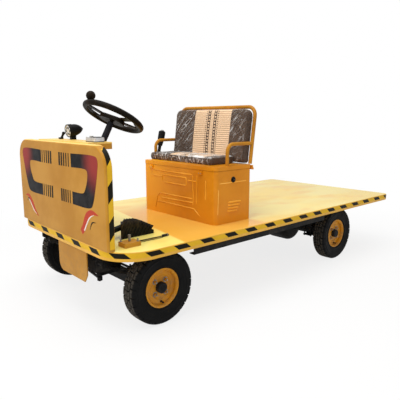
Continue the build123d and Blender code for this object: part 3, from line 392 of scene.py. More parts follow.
class Graph(Nodes):
    """Node tree of one material, with textures on the object's own coordinates."""

    def __init__(self, name: str) -> None:
        """Start a material with one principled shader.

        Args:
            name: name of the material.
        """
        self.material = bpy.data.materials.new(name)
        self.material.use_nodes = True
        super().__init__(self.material.node_tree)
        self.shader = self.add("BsdfPrincipled")
        self.output = self.add("OutputMaterial", {"Surface": self.shader.outputs[0]})
        self.place = self.add("TexCoord").outputs["Object"]

    def surface(self, **sockets: object) -> None:
        """Set the shader's inputs; an underscore in a name stands for a space."""
        self.feed(self.shader, {key.replace("_", " "): value for key, value in sockets.items()})

    def mapped(self, scale: Place = (1, 1, 1), turn: Place = (0, 0, 0), shift: Place = (0, 0, 0)) -> Socket:
        """Object coordinates turned and shifted, and then scaled.

        Args:
            scale: factors along the axes.
            turn: angles round the axes, in degrees.
            shift: distances along the axes.

        Returns:
            The new coordinates.
        """
        angles = tuple(math.radians(angle) for angle in turn)
        turned = self.add("Mapping", {"Vector": self.place, "Rotation": angles, "Location": shift})
        return self.add("Mapping", {"Vector": turned.outputs[0], "Scale": scale}).outputs[0]

    def noise(
        self, scale: float, detail: float, rough: float, at: Socket | None = None, bend: float = 0.0
    ) -> Socket:
        """Noise between 0 and 1.

        Args:
            scale: scale of the pattern per metre.
            detail: number of finer layers.
            rough: weight of the finer layers.
            at: coordinates to read, if not the object's own.
            bend: distortion of the pattern.

        Returns:
            The noise.
        """
        sockets = {"Scale": scale, "Detail": detail, "Roughness": rough, "Distortion": bend}
        sockets["Vector"] = at if at is not None else self.place
        return self.add("TexNoise", sockets).outputs[0]

    def cells(self, scale: float) -> Socket:
        """Distance to the nearest of scattered points."""
        return self.add("TexVoronoi", {"Scale": scale, "Vector": self.place}).outputs[0]

    def between(
        self, value: Socket, low: float, high: float, to_low: float = 0.0, to_high: float = 1.0
    ) -> Socket:
        """Value mapped smoothly from a span to another, and held at its ends."""
        sockets = {0: value, 1: low, 2: high, 3: to_low, 4: to_high}
        return self.add("MapRange", sockets, interpolation_type="SMOOTHSTEP").outputs[0]

    def inside(self, value: Socket, low: float, high: float, soft: float) -> Socket:
        """1 inside a span and 0 outside it, with soft edges.

        Args:
            value: what is compared with the span.
            low: start of the span.
            high: end of the span.
            soft: half the width of a soft edge.

        Returns:
            The share.
        """
        rise = self.between(value, low - soft, low + soft)
        fall = self.between(value, high - soft, high + soft, 1.0, 0.0)
        return self.product(rise, fall)

    def mixed(self, share: object, first: object, second: object) -> Socket:
        """Colour between two colours."""
        return self.add("Mix", {0: share, 6: first, 7: second}, data_type="RGBA").outputs[2]

    def axes(self) -> bpy.types.NodeOutputs:
        """X, Y and Z of the object coordinates."""
        return self.add("SeparateXYZ", {0: self.place}).outputs

    def bump(
        self, height: Socket, strength: float, distance: float, under: Socket | None = None
    ) -> Socket:
        """Normal bent by a height.

        Args:
            height: the height.
            strength: how much of the bend shows.
            distance: size in metres of a height of 1.
            under: normal that is bent, if not the surface's own.

        Returns:
            The bent normal.
        """
        sockets = {"Strength": strength, "Distance": distance, "Height": height}
        if under is not None:
            sockets["Normal"] = under
        return self.add("Bump", sockets).outputs[0]


class Finish(ABC):
    """A recipe for one material.

    Attributes:
        name: name of the material.
    """

    name: str

    def made(self) -> bpy.types.Material:
        """Build the material.

        Returns:
            The material.
        """
        g = Graph(self.name)
        self.paint(g)
        return g.material

    @abstractmethod
    def paint(self, g: Graph) -> None:
        """Join the nodes."""


@dataclass(frozen=True)
class GlossPaint(Finish):
    """Sprayed gloss paint on sheet metal, with cloudy shade, orange peel and a little dust.

    Args:
        name: name of the finish.
        colour: main colour.
        shade: colour of its darker clouds.
        roughness: roughness of the paint under its clear top.
        coat: weight of the clear top.
        peel: strength of the orange peel.
        dust: share of dust on the lowest parts.
        glow: colour towards the right side, where it is brighter: painted glare standing in for light
            falling there.
        top: height above which the colour changes.
        top_colour: colour above that height; on the body it is a pale painted highlight on the lit top of
            the cowl and dash.
    """

    name: str
    colour: Colour
    shade: Colour
    roughness: float = 0.36
    coat: float = 0.04
    peel: float = 0.06
    dust: float = 0.25
    glow: Colour | None = None
    top: float = 9.0
    top_colour: Colour = (0.22, 0.20, 0.16)

    def paint(self, g: Graph) -> None:
        """Join the nodes.

        Args:
            g: the material's nodes.
        """
        clouds = g.between(g.noise(3.5, 4, 0.6), 0.35, 0.68)
        base = g.mixed(clouds, self.colour, self.shade)
        # painted glare: the colour turns brighter towards the right side in place of light
        if self.glow:
            base = g.mixed(g.between(g.axes()[1], -0.22, 0.30, 0.9, 0.0), base, self.glow)
        specks = g.between(g.noise(420, 2, 0.5), 0.66, 0.74, 0.0, 0.18)
        base = g.mixed(specks, base, self.shade)
        low = g.between(g.axes()[2], 0.12, 0.62, self.dust, 0.0)
        grime = g.product(low, g.between(g.noise(26, 6, 0.65), 0.42, 0.62))
        base = g.mixed(grime, base, (0.22, 0.17, 0.12))
        # above the top height the colour changes: on the body a painted highlight on the lit top
        base = g.mixed(g.between(g.axes()[2], self.top, self.top + 0.002), base, self.top_colour)
        rough = g.math("ADD", self.roughness, g.product(grime, 0.4))
        peel = g.bump(g.noise(190, 2, 0.4), self.peel, 0.0012)
        waves = g.bump(g.noise(7, 2, 0.4), 0.05, 0.01, peel)
        g.surface(Base_Color=base, Roughness=rough, Normal=waves, Specular_IOR_Level=0.14)
        g.surface(Coat_Weight=self.coat, Coat_Roughness=0.06)


@dataclass(frozen=True)
class DeckPaint(Finish):
    """Bright gloss paint of the deck, with pale clouds and soft orange patches that are painted reflections.

    Args:
        colour: main colour of its top.
        pale: colour of its pale clouds, painted reflections.
        reflection_patch_colour: colour of its soft orange patches, painted reflections of the seat box.
        front: colour ahead of the slanted line before the seat box; paler there as painted light on the deck
            shaded by the cowl.
        lit: colour beside the box, whose orange it throws back.
        edge: colour of the folded edge under the top.
        slope: how far that line moves ahead for each metre to the left.
        name: name of the finish.
    """

    colour: Colour = (0.98, 0.70, 0.13)
    pale: Colour = (0.99, 0.81, 0.24)
    reflection_patch_colour: Colour = (0.93, 0.50, 0.09)
    front: Colour = (0.99, 0.86, 0.24)
    lit: Colour = (0.86, 0.43, 0.055)
    edge: Colour = (0.74, 0.40, 0.045)
    slope: float = 0.176
    name: str = "deck_gloss"

    def paint(self, g: Graph) -> None:
        """Join the nodes.

        Args:
            g: the material's nodes.
        """
        top = g.between(g.axes()[2], 0.4685, 0.4698)
        # pale clouds: painted reflections
        painted_reflection_clouds = g.noise(1.0, 2, 0.4, g.mapped((1.6, 3.2, 1.0)))
        base = g.mixed(g.between(painted_reflection_clouds, 0.4, 0.6), self.colour, self.pale)
        x, y, _ = g.axes()
        ahead = g.math("SUBTRACT", x, g.product(y, self.slope))
        # ahead of the slanted line the deck is paler: painted light where the cowl shades it
        base = g.mixed(g.between(ahead, 0.845, 0.875), base, self.front)
        behind = g.between(ahead, 0.85, 0.87, 1.0, 0.0)
        beside = g.product(behind, g.between(x, 0.26, 0.32), g.between(y, -0.50, -0.10), 0.85)
        base = g.mixed(beside, base, self.lit)
        base = g.mixed(top, self.edge, base)
        # soft orange patches: painted reflections of the seat box
        wide = g.noise(1.0, 1, 0.4, g.mapped((4.2, 6.5, 1.0), shift=(3.1, 0.7, 0)))
        painted_reflection_patches = g.between(wide, 0.50, 0.70)
        base = g.mixed(g.product(painted_reflection_patches, 0.45), base, self.reflection_patch_colour)
        streaks = g.noise(1.0, 4, 0.6, g.mapped((9, 90, 20), (0, 0, 24)))
        scuffs = g.between(streaks, 0.66, 0.74, 0.0, 0.12)
        base = g.mixed(scuffs, base, (0.97, 0.84, 0.48))
        rough = g.between(g.noise(4, 2, 0.4), 0.3, 0.7, 0.15, 0.24)
        dents = g.bump(g.noise(2.2, 1, 0.3), 0.16, 0.02, g.bump(g.noise(150, 1, 0.3), 0.02, 0.001))
        g.surface(Base_Color=base, Roughness=rough, Normal=dents, Specular_IOR_Level=0.25)
        g.surface(Coat_Weight=0.12, Coat_Roughness=0.05)


@dataclass(frozen=True)
class DarkMetal(Finish):
    """Black chassis paint with road dust and small chips.

    Args:
        name: name of the finish.
        colour: colour of the paint.
        dust: colour of the dust on it.
        amount: share of dust.
        roughness: roughness of the clean paint.
    """

    name: str
    colour: Colour
    dust: Colour = (0.16, 0.14, 0.12)
    amount: float = 0.35
    roughness: float = 0.42

    def paint(self, g: Graph) -> None:
        """Join the nodes.

        Args:
            g: the material's nodes.
        """
        dust = g.product(g.between(g.noise(14, 6, 0.65), 0.40, 0.70), self.amount)
        base = g.mixed(dust, self.colour, self.dust)
        chips = g.between(g.noise(160, 3, 0.6), 0.70, 0.74, 0.0, 0.5)
        base = g.mixed(chips, base, (0.12, 0.11, 0.10))
        rough = g.math("ADD", self.roughness, g.product(dust, 0.9))
        grain = g.bump(g.noise(320, 3, 0.6), 0.12, 0.0008)
        g.surface(Base_Color=base, Roughness=rough, Normal=grain, Specular_IOR_Level=0.12)


@dataclass(frozen=True)
class BareMetal(Finish):
    """Zinc plate or brushed plate: metal with fine lines and dull spots.

    Args:
        name: name of the finish.
        colour: colour of the metal.
        roughness: mean roughness.
        lines: stretch of the fine lines along x, y and z.
    """

    name: str
    colour: Colour
    roughness: float = 0.3
    lines: Colour = (60, 60, 60)

    def paint(self, g: Graph) -> None:
        """Join the nodes.

        Args:
            g: the material's nodes.
        """
        lines = g.noise(1.0, 4, 0.6, g.mapped(self.lines))
        dull = g.between(g.noise(24, 4, 0.6), 0.35, 0.70)
        darker = tuple(0.72 * channel for channel in self.colour)
        base = g.mixed(dull, self.colour, darker)
        rough = g.between(lines, 0.3, 0.7, self.roughness - 0.09, self.roughness + 0.12)
        g.surface(Base_Color=base, Metallic=0.92, Roughness=rough, Normal=g.bump(lines, 0.10, 0.0005))


@dataclass(frozen=True)
class Moulding(Finish):
    """Moulded plastic or rubber with a fine grain and greyed high spots; on the steering wheel they are also
    painted reflections.

    Args:
        name: name of the finish.
        colour: its colour.
        wear_and_sheen: colour where it is rubbed; on the steering wheel its brown spots also stand in for
            painted reflections.
        roughness: mean roughness.
        grain: size of the grain per metre.
        depth: strength of the grain.
        shine: how much light its surface throws back.
    """

    name: str
    colour: Colour
    wear_and_sheen: Colour
    roughness: float = 0.45
    grain: float = 700.0
    depth: float = 0.15
    shine: float = 0.10

    def paint(self, g: Graph) -> None:
        """Join the nodes.

        Args:
            g: the material's nodes.
        """
        # rubbed spots; on the steering wheel they are also painted reflections
        wear_and_sheen = g.between(g.noise(19, 5, 0.6), 0.45, 0.72, 0.0, 0.8)
        base = g.mixed(wear_and_sheen, self.colour, self.wear_and_sheen)
        spots = g.noise(31, 4, 0.6)
        rough = g.between(spots, 0.3, 0.7, self.roughness - 0.07, self.roughness + 0.10)
        grain = g.bump(g.cells(self.grain), self.depth, 0.0006)
        g.surface(Base_Color=base, Roughness=rough, Normal=grain, Specular_IOR_Level=self.shine)


@dataclass(frozen=True)
class TreadRubber(Finish):
    """Tyre rubber: black side walls, and greyer dusty tread blocks.

    Args:
        name: name of the finish.
        centre: middle of the wheel.
    """

    name: str
    centre: Place

    def paint(self, g: Graph) -> None:
        """Join the nodes; dust follows the distance from the wheel's axis.

        Args:
            g: the material's nodes.
        """
        at = g.mapped(shift=tuple(-c for c in self.centre))
        flat = g.add("VectorMath", {0: at, 1: (1, 0, 1)}, operation="MULTIPLY").outputs[0]
        radius = g.add("VectorMath", {0: flat}, operation="LENGTH").outputs["Value"]
        crown = g.between(radius, 0.2025, 0.2068)
        patches = g.between(g.noise(34, 6, 0.7), 0.34, 0.66)
        tread = g.product(crown, g.math("MULTIPLY_ADD", patches, 0.55, 0.45))
        base = g.mixed(tread, (0.007, 0.007, 0.007), (0.070, 0.060, 0.048))
        smears = g.between(g.noise(12, 5, 0.65), 0.52, 0.78, 0.0, 0.35)
        base = g.mixed(smears, base, (0.025, 0.023, 0.020))
        rough = g.between(g.noise(16, 4, 0.6), 0.3, 0.7, 0.50, 0.70)
        grain = g.bump(g.noise(520, 3, 0.6), 0.20, 0.0008)
        g.surface(Base_Color=base, Roughness=rough, Normal=grain, Specular_IOR_Level=0.08)


@dataclass(frozen=True)
class TapeFilm(Finish):
    """Warning tape: smooth plastic film with faint scratches and trapped dust.

    Args:
        name: name of the finish.
        colour: colour of the film.
        scratch: colour of the scratches.
    """

    name: str
    colour: Colour
    scratch: Colour

    def paint(self, g: Graph) -> None:
        """Join the nodes.

        Args:
            g: the material's nodes.
        """
        clouds = g.between(g.noise(8, 4, 0.6), 0.4, 0.7, 0.0, 0.35)
        base = g.mixed(clouds, self.colour, tuple(0.75 * c for c in self.colour))
        streaks = g.noise(1.0, 4, 0.7, g.mapped((40, 40, 600), (0, 12, 9)))
        lines = g.between(streaks, 0.66, 0.74, 0.0, 0.45)
        base = g.mixed(lines, base, self.scratch)
        bubbles = g.bump(g.noise(60, 3, 0.5), 0.10, 0.001)
        g.surface(Base_Color=base, Roughness=0.38, Normal=bubbles, Specular_IOR_Level=0.08)


@dataclass(frozen=True)
class BadgeInk(Finish):
    """Printed film of the front ornament: red at the upper outer corners, fading to grey black.

    Args:
        reach: distance from the corner at which the red is gone.
        corner: half width and height of the red corners.
        name: name of the finish.
    """

    reach: float = 0.165
    corner: Flat = (0.462, 0.915)
    name: str = "ornament_film"

    def paint(self, g: Graph) -> None:
        """Join the nodes.

        Args:
            g: the material's nodes.
        """
        x, y, z = g.axes()
        across = g.math("SUBTRACT", g.math("ABSOLUTE", y), self.corner[0])
        up = g.product(g.math("SUBTRACT", z, self.corner[1]), 0.80)
        away = g.math("SQRT", g.math("ADD", g.math("POWER", across, 2.0), g.math("POWER", up, 2.0)))
        red = g.between(away, 0.030, self.reach, 1.0, 0.0)
        grey = g.between(g.noise(16, 4, 0.6), 0.35, 0.7)
        dark = g.mixed(grey, (0.008, 0.008, 0.009), (0.026, 0.025, 0.026))
        base = g.mixed(red, dark, (0.30, 0.040, 0.034))
        g.surface(Base_Color=base, Roughness=0.32, Specular_IOR_Level=0.05)
        g.surface(Normal=g.bump(g.noise(90, 2, 0.5), 0.06, 0.001))


@dataclass(frozen=True)
class SeatCloth(Finish):
    """Woven seat cover: dark sides, and a beige ribbed middle, painted darker in the rib hollows as shade,
    with two dark chained stripes.

    Args:
        name: name of the finish.
        middle: (low, high) of the beige middle across the seat.
        rib_axis: axis that the ribs are counted along, 0 for x and 2 for z.
        end: (low, high) of the middle along that axis.
        rib_pitch: spacing of the ribs.
    """

    name: str
    middle: Flat
    rib_axis: int
    end: Flat
    rib_pitch: float = 0.0138

    def paint(self, g: Graph) -> None:
        """Join the nodes: ribs are a sine along one axis, and the chains are diamonds in two columns.

        Args:
            g: the material's nodes.
        """
        axes = g.axes()
        across, along = axes[1], axes[self.rib_axis]
        panel = g.product(g.inside(across, *self.middle, 0.0015), g.inside(along, *self.end, 0.002))
        rib = g.math("SINE", g.product(along, 2 * math.pi / self.rib_pitch))
        rib = g.math("MULTIPLY_ADD", rib, 0.5, 0.5)
        threads = g.noise(1.0, 4, 0.7, g.mapped((1400, 300, 1400)))
        # the rib hollows are dark brown and the crests beige: painted shade in the hollows
        beige = g.mixed(rib, (0.40, 0.23, 0.12), (0.94, 0.66, 0.41))
        beige = g.mixed(g.between(threads, 0.35, 0.7, 0.0, 0.4), beige, (0.98, 0.80, 0.58))
        centre = 0.5 * (self.middle[0] + self.middle[1])
        offset = g.math("ABSOLUTE", g.math("SUBTRACT", across, centre))
        saw = g.math("PINGPONG", g.math("ADD", along, 3.0), 0.0105)
        away = g.math("ADD", g.math("ABSOLUTE", g.math("SUBTRACT", offset, 0.030)), saw)
        diamond = g.between(away, 0.0080, 0.0100, 1.0, 0.0)
        column = g.product(g.inside(offset, 0.017, 0.044, 0.001), g.math("SUBTRACT", 1.0, diamond))
        dots = g.between(g.math("PINGPONG", g.math("ADD", along, 3.0), 0.5 * self.rib_pitch), 0.0022, 0.0040)
        lines = g.product(g.inside(offset, 0.053, 0.060, 0.001), dots)
        ink = g.math("MINIMUM", g.math("ADD", column, lines), 1.0)
        beige = g.mixed(ink, beige, (0.048, 0.024, 0.014))
        askew = g.mapped(turn=(20, 35, 40))
        twill = g.add("TexWave", {"Scale": 95.0, "Distortion": 1.2, "Vector": askew})
        weave = g.product(twill.outputs[1], g.noise(260, 4, 0.7))
        sides = g.mixed(g.between(weave, 0.15, 0.6), (0.035, 0.020, 0.013), (0.150, 0.092, 0.058))
        clouds = g.between(g.noise(9, 4, 0.6), 0.4, 0.7, 0.0, 0.5)
        sides = g.mixed(clouds, sides, (0.090, 0.055, 0.036))
        base = g.mixed(panel, sides, beige)
        ribs = g.bump(g.product(rib, panel), 0.65, 0.0022)
        g.surface(Base_Color=base, Roughness=0.82, Normal=g.bump(threads, 0.35, 0.0008, ribs))
        g.surface(Specular_IOR_Level=0.15, Sheen_Weight=0.05, Sheen_Roughness=0.4)


@dataclass(frozen=True)
class WrapFilm(Finish):
    """Clear wrinkled film over the seat: see-through, with pale glints along its creases.

    Args:
        name: name of the finish.
        creases: for each family of creases, the stretch along x, y and z, the turn in degrees, and how
            bright it is.
        reach: (low, high) across the seat between which it glints.
        quiet: (low, high) of the calmer middle between them.
        sheen: share of pale glare that lies over the middle of its flat top.
    """

    name: str
    creases: tuple[tuple[Colour, Colour, float], ...]
    reach: Flat
    quiet: Flat
    sheen: float = 0.0

    def paint(self, g: Graph) -> None:
        """Join the nodes: creases are the thin ridges of stretched and turned noises.

        Args:
            g: the material's nodes.
        """
        crease = 0.0
        for stretch, turn, share in self.creases:
            field = g.noise(1.0, 1, 0.4, g.mapped(stretch, turn), 0.15)
            level = g.math("ABSOLUTE", g.math("SUBTRACT", field, 0.5))
            ridge = g.between(level, 0.003, 0.022, share, 0.0)
            crease = g.math("MAXIMUM", crease, ridge)
        _, y, z = g.axes()
        patches = g.between(g.noise(6, 2, 0.5), 0.36, 0.60, 0.45, 1.0)
        patches = g.product(patches, g.inside(y, *self.reach, 0.003))
        calm = g.math("MULTIPLY_ADD", g.inside(y, *self.quiet, 0.01), -0.85, 1.0)
        glint = g.product(crease, patches, calm)
        spots = g.between(g.noise(7, 3, 0.6), 0.40, 0.60)
        glare = g.product(spots, g.between(z, 0.872, 0.877), patches, self.sheen)
        alpha = g.math("ADD", 0.02, g.math("MAXIMUM", glint, glare))
        folds = g.bump(g.math("ADD", g.noise(30, 2, 0.5), crease), 0.5, 0.003)
        g.surface(Base_Color=(0.95, 0.94, 0.93), Roughness=0.08, Alpha=alpha, Normal=folds, IOR=1.5)


@dataclass(frozen=True)
class Finishes:
    """Every finish of the truck by name, built once.

    Args:
        made: the materials by name.
    """

    made: dict[str, bpy.types.Material]

    @classmethod
    def all(cls) -> Finishes:
        """Build the finishes that several pieces share.

        Returns:
            The finishes.
        """
        amber = (0.535, 0.258, 0.032), (0.450, 0.198, 0.014)
        orange = (0.720, 0.272, 0.012), (0.610, 0.205, 0.005)
        black, brown = (0.008, 0.008, 0.008), (0.008, 0.006, 0.004)
        recipes = {
            "deck": DeckPaint(),
            # the pale top of the cowl and dash is a painted highlight
            "body": GlossPaint("body_gloss", *amber, top=0.9915, top_colour=(0.90, 0.60, 0.16)),
            "pin": GlossPaint("pinned_gloss", *amber, top=0.4945),
            # the box's brighter right side is painted glare
            "box": GlossPaint("box_gloss", *orange, 0.28, 0.08, glow=(0.99, 0.42, 0.014)),
            # the pressings are painted lighter than the box: painted highlights on the ridges
            "pressing": GlossPaint("pressing_highlight_gloss", (0.88, 0.40, 0.035), (0.74, 0.28, 0.010), 0.24, 0.10),
            # the light lines on the box side are painted highlights
            "bright": GlossPaint("painted_highlight_gloss", (0.96, 0.52, 0.10), (0.84, 0.36, 0.02), 0.24, 0.10),
            "frame": GlossPaint("tube_gloss", (0.53, 0.232, 0.018), (0.40, 0.155, 0.010), peel=0.10),
            "rim": GlossPaint("rim_gloss", (0.66, 0.285, 0.014), (0.50, 0.195, 0.008), dust=0.30),
            "chassis": DarkMetal("chassis_black", (0.010, 0.010, 0.010), amount=0.16, roughness=0.55),
            "spring": DarkMetal("spring_black", (0.014, 0.013, 0.013), amount=0.22, roughness=0.55),
            "casting": DarkMetal("cast_black", (0.016, 0.015, 0.014), amount=0.3, roughness=0.65),
            "hub": DarkMetal("hub_black", (0.010, 0.010, 0.011), amount=0.12, roughness=0.4),
            "motor": DarkMetal("motor_grey", (0.050, 0.050, 0.052), amount=0.4),
            "column": DarkMetal("column_black", (0.009, 0.009, 0.013), amount=0.05, roughness=0.38),
            "zinc": BareMetal("zinc_plate", (0.36, 0.34, 0.30), 0.38),
            "silver": BareMetal("silver_plate", (0.82, 0.82, 0.83), 0.34, (8, 900, 900)),
            "plastic": Moulding("black_plastic", black, (0.020, 0.018, 0.017), 0.36),
            # the steering wheel's brown spots are partly painted reflections
            "wheel": Moulding("wheel_plastic", brown, (0.024, 0.014, 0.007), 0.34, 900, 0.10, 0.06),
            "rubber": Moulding("pedal_rubber", (0.007, 0.008, 0.006), (0.018, 0.018, 0.014), 0.6, 500, 0.3),
            "fins": Moulding("fin_rubber", (0.010, 0.008, 0.005), (0.050, 0.036, 0.018), 0.5, 500, 0.3),
            "grip": Moulding("grip_rubber", black, (0.022, 0.022, 0.022), 0.42, 650, 0.12),
            "grey": Moulding("grey_plastic", (0.42, 0.43, 0.41), (0.30, 0.30, 0.29), 0.42),
            "battery": Moulding("battery_case", (0.07, 0.07, 0.075), (0.12, 0.12, 0.12), 0.5),
            "tape_yellow": TapeFilm("tape_yellow", (0.76, 0.45, 0.022), (0.84, 0.60, 0.14)),
            "tape_black": TapeFilm("tape_black", (0.012, 0.011, 0.006), (0.07, 0.06, 0.035)),
            "ornament": BadgeInk(),
            "flash_red": TapeFilm("flash_red", (0.50, 0.055, 0.028), (0.66, 0.26, 0.18)),
            "flash_pale": TapeFilm("flash_pale", (0.80, 0.72, 0.62), (0.90, 0.85, 0.80)),
        }
        return cls({name: recipe.made() for name, recipe in recipes.items()})

    def __getitem__(self, name: str) -> bpy.types.Material:
        """The finish of that name."""
        return self.made[name]


def repaint(finishes: Finishes, nodes: dict[str, str]) -> None:
    """Give CAD nodes their finishes.

    Args:
        finishes: the shared finishes.
        nodes: names of nodes, with spaces between them, by the name of their finish.
    """
    for finish, names in nodes.items():
        for name in names.split():
            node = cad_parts[name]
            for place in range(max(1, len(node.material_slots))):
                if place >= len(node.data.materials):
                    node.data.materials.append(finishes[finish])
                node.material_slots[place].material = finishes[finish]


# Pieces


def slanted(near: Flat, far: Flat, step: float) -> tuple[Array, Array]:
    """Distances over a strip of tape, three across, between two slanted ends.

    Args:
        near: distance of the near end at the strip's two edges.
        far: distance of the far end there.
        step: spacing of the rows.

    Returns:
        (rows, 3) distances, and (1, 3) shares from the first edge to the second.
    """
    share = np.linspace(0, 1, max(3, int(abs(far[0] - near[0]) / step)))[:, None]
    across = np.linspace(0, 1, 3)[None, :]
    starts = near[0] + (near[1] - near[0]) * across
    ends = far[0] + (far[1] - far[0]) * across
    return starts + (ends - starts) * share, across


@dataclass
class DeckEdge:
    """Warning tape round the deck's folded edge.

    Args:
        half_length: half the deck's length.
        half_width: half the deck's width.
        front_radius: radius of the front corners.
        rear_radius: radius of the rear corners.
        low: lower edge of the tape.
        high: upper edge of the tape.
        starts: distance from the middle of the front edge, along the edge to the left, at which each
            dark bar's upper edge begins.
        bar: length of a bar.
        slant: how far a bar's lower edge lies behind its upper edge.
        pitch: spacing of the bars that the starts do not give.
    """

    half_length: float = 1.385
    half_width: float = 0.655
    front_radius: float = 0.205
    rear_radius: float = 0.040
    low: float = 0.4365
    high: float = 0.4632
    starts: tuple[float, ...] = (
        -0.481, -0.267, -0.054, 0.149, 0.352, 0.530, 0.720, 0.900, 1.084, 1.276,
        1.453, 1.637, 1.822, 2.000, 2.174, 2.356, 2.530, 2.709, 2.884, 3.072, 3.250,
    )
    bar: float = 0.086
    slant: float = 0.034
    pitch: float = 0.183

    @property
    def stops(self) -> Array:
        """Where the straights and turns of half the edge end.

        Returns:
            Five distances along the edge from the middle of the front.
        """
        front, rear = self.front_radius, self.rear_radius
        side = 2 * self.half_length - front - rear
        turns = (front * math.pi / 2, rear * math.pi / 2)
        return np.cumsum([self.half_width - front, turns[0], side, turns[1], self.half_width - rear])

    def edge(self, along: Array) -> tuple[Array, Array]:
        """Point and outward direction on the deck's edge at a distance along it.

        The edge is straights joined by quarter circles; the distance is folded on to one of them.

        Args:
            along: distances from the middle of the front edge towards the left.

        Returns:
            (n, 2) points and (n, 2) unit normals.
        """
        stops = self.stops
        total = stops[-1]
        along = (np.asarray(along, float) + total) % (2 * total) - total
        side = np.where(along < 0, -1.0, 1.0)
        s = np.abs(along)
        front_turn = np.clip((s - stops[0]) / self.front_radius, 0, math.pi / 2)
        rear_turn = np.clip((s - stops[2]) / self.rear_radius, 0, math.pi / 2)
        x = self.half_length - self.front_radius * (1 - np.cos(front_turn))
        y = np.minimum(s, stops[0]) + self.front_radius * np.sin(front_turn)
        x = x - np.clip(s, stops[1], stops[2]) + stops[1] - self.rear_radius * np.sin(rear_turn)
        y = y - self.rear_radius * (1 - np.cos(rear_turn)) - np.clip(s - stops[3], 0, None)
        angle = front_turn + rear_turn
        points = np.stack([x, side * y], axis=1)
        return points, np.stack([np.cos(angle), side * np.sin(angle)], axis=1)

    def band(self, near: Flat, far: Flat, low: float, high: float) -> Shell:
        """Plate on the edge between two slanted ends.

        Args:
            near: distance of the near end at the tape's lower and upper edges.
            far: the same for the far end.
            low: distance of its hidden face from the deck's edge.
            high: distance of its shown face.

        Returns:
            The plate.
        """
        along, up = slanted(near, far, 0.008)
        flat, outward = self.edge(along.ravel())
        height = np.broadcast_to(self.low + (self.high - self.low) * up, along.shape).ravel()
        points = np.insert(flat, 2, height, axis=1).reshape(-1, 3, 3)
        normals = np.insert(outward, 2, 0.0, axis=1).reshape(-1, 3, 3)
        return plate(points, normals, low, high)

    def build(self, finishes: Finishes) -> None:
        """Lay the yellow tape and its dark bars.

        Args:
            finishes: the shared finishes.
        """
        half = self.stops[-1]
        tape = self.band((-half, -half), (half, half), 0.0001, 0.0003)
        make_piece("deck_tape", tape, finishes["tape_yellow"])
        last = 2 * half + self.starts[0] - 0.5 * self.pitch
        starts = np.concatenate([self.starts, np.arange(self.starts[-1] + self.pitch, last, self.pitch)])
        bars = [
            self.band((s + self.slant, s), (s + self.slant + self.bar, s + self.bar), 0.0002, 0.0006)
            for s in starts
        ]
        make_piece("deck_tape_bars", joined(bars), finishes["tape_black"])


FLASHES = {
    "cowl_flashes": ("flash_red", FILM, (
        (
            ((-0.484, 0.634), (-0.430, 0.640), (-0.385, 0.600), (-0.340, 0.545), (-0.289, 0.519)),
            (0.004, 0.020, 0.034, 0.022, 0.003),
        ),
        (
            ((0.282, 0.527), (0.318, 0.560), (0.345, 0.620), (0.400, 0.655), (0.470, 0.644)),
            (0.034, 0.040, 0.040, 0.026, 0.003),
        ),
    )),
    "cowl_flash_glints": ("flash_pale", TOP_FILM, (
        (((-0.447, 0.618), (-0.415, 0.600), (-0.360, 0.545), (-0.318, 0.528)), (0.003, 0.008, 0.008, 0.002)),
        (((0.316, 0.540), (0.345, 0.580), (0.378, 0.622), (0.425, 0.640)), (0.010, 0.009, 0.008, 0.002)),
    )),
    "cowl_flash_hooks": ("tape_black", TOP_FILM, (
        (((-0.455, 0.600), (-0.440, 0.622), (-0.418, 0.612)), (0.003, 0.007, 0.003)),
        (((0.378, 0.556), (0.400, 0.600), (0.440, 0.603)), (0.003, 0.008, 0.003)),
    )),
}


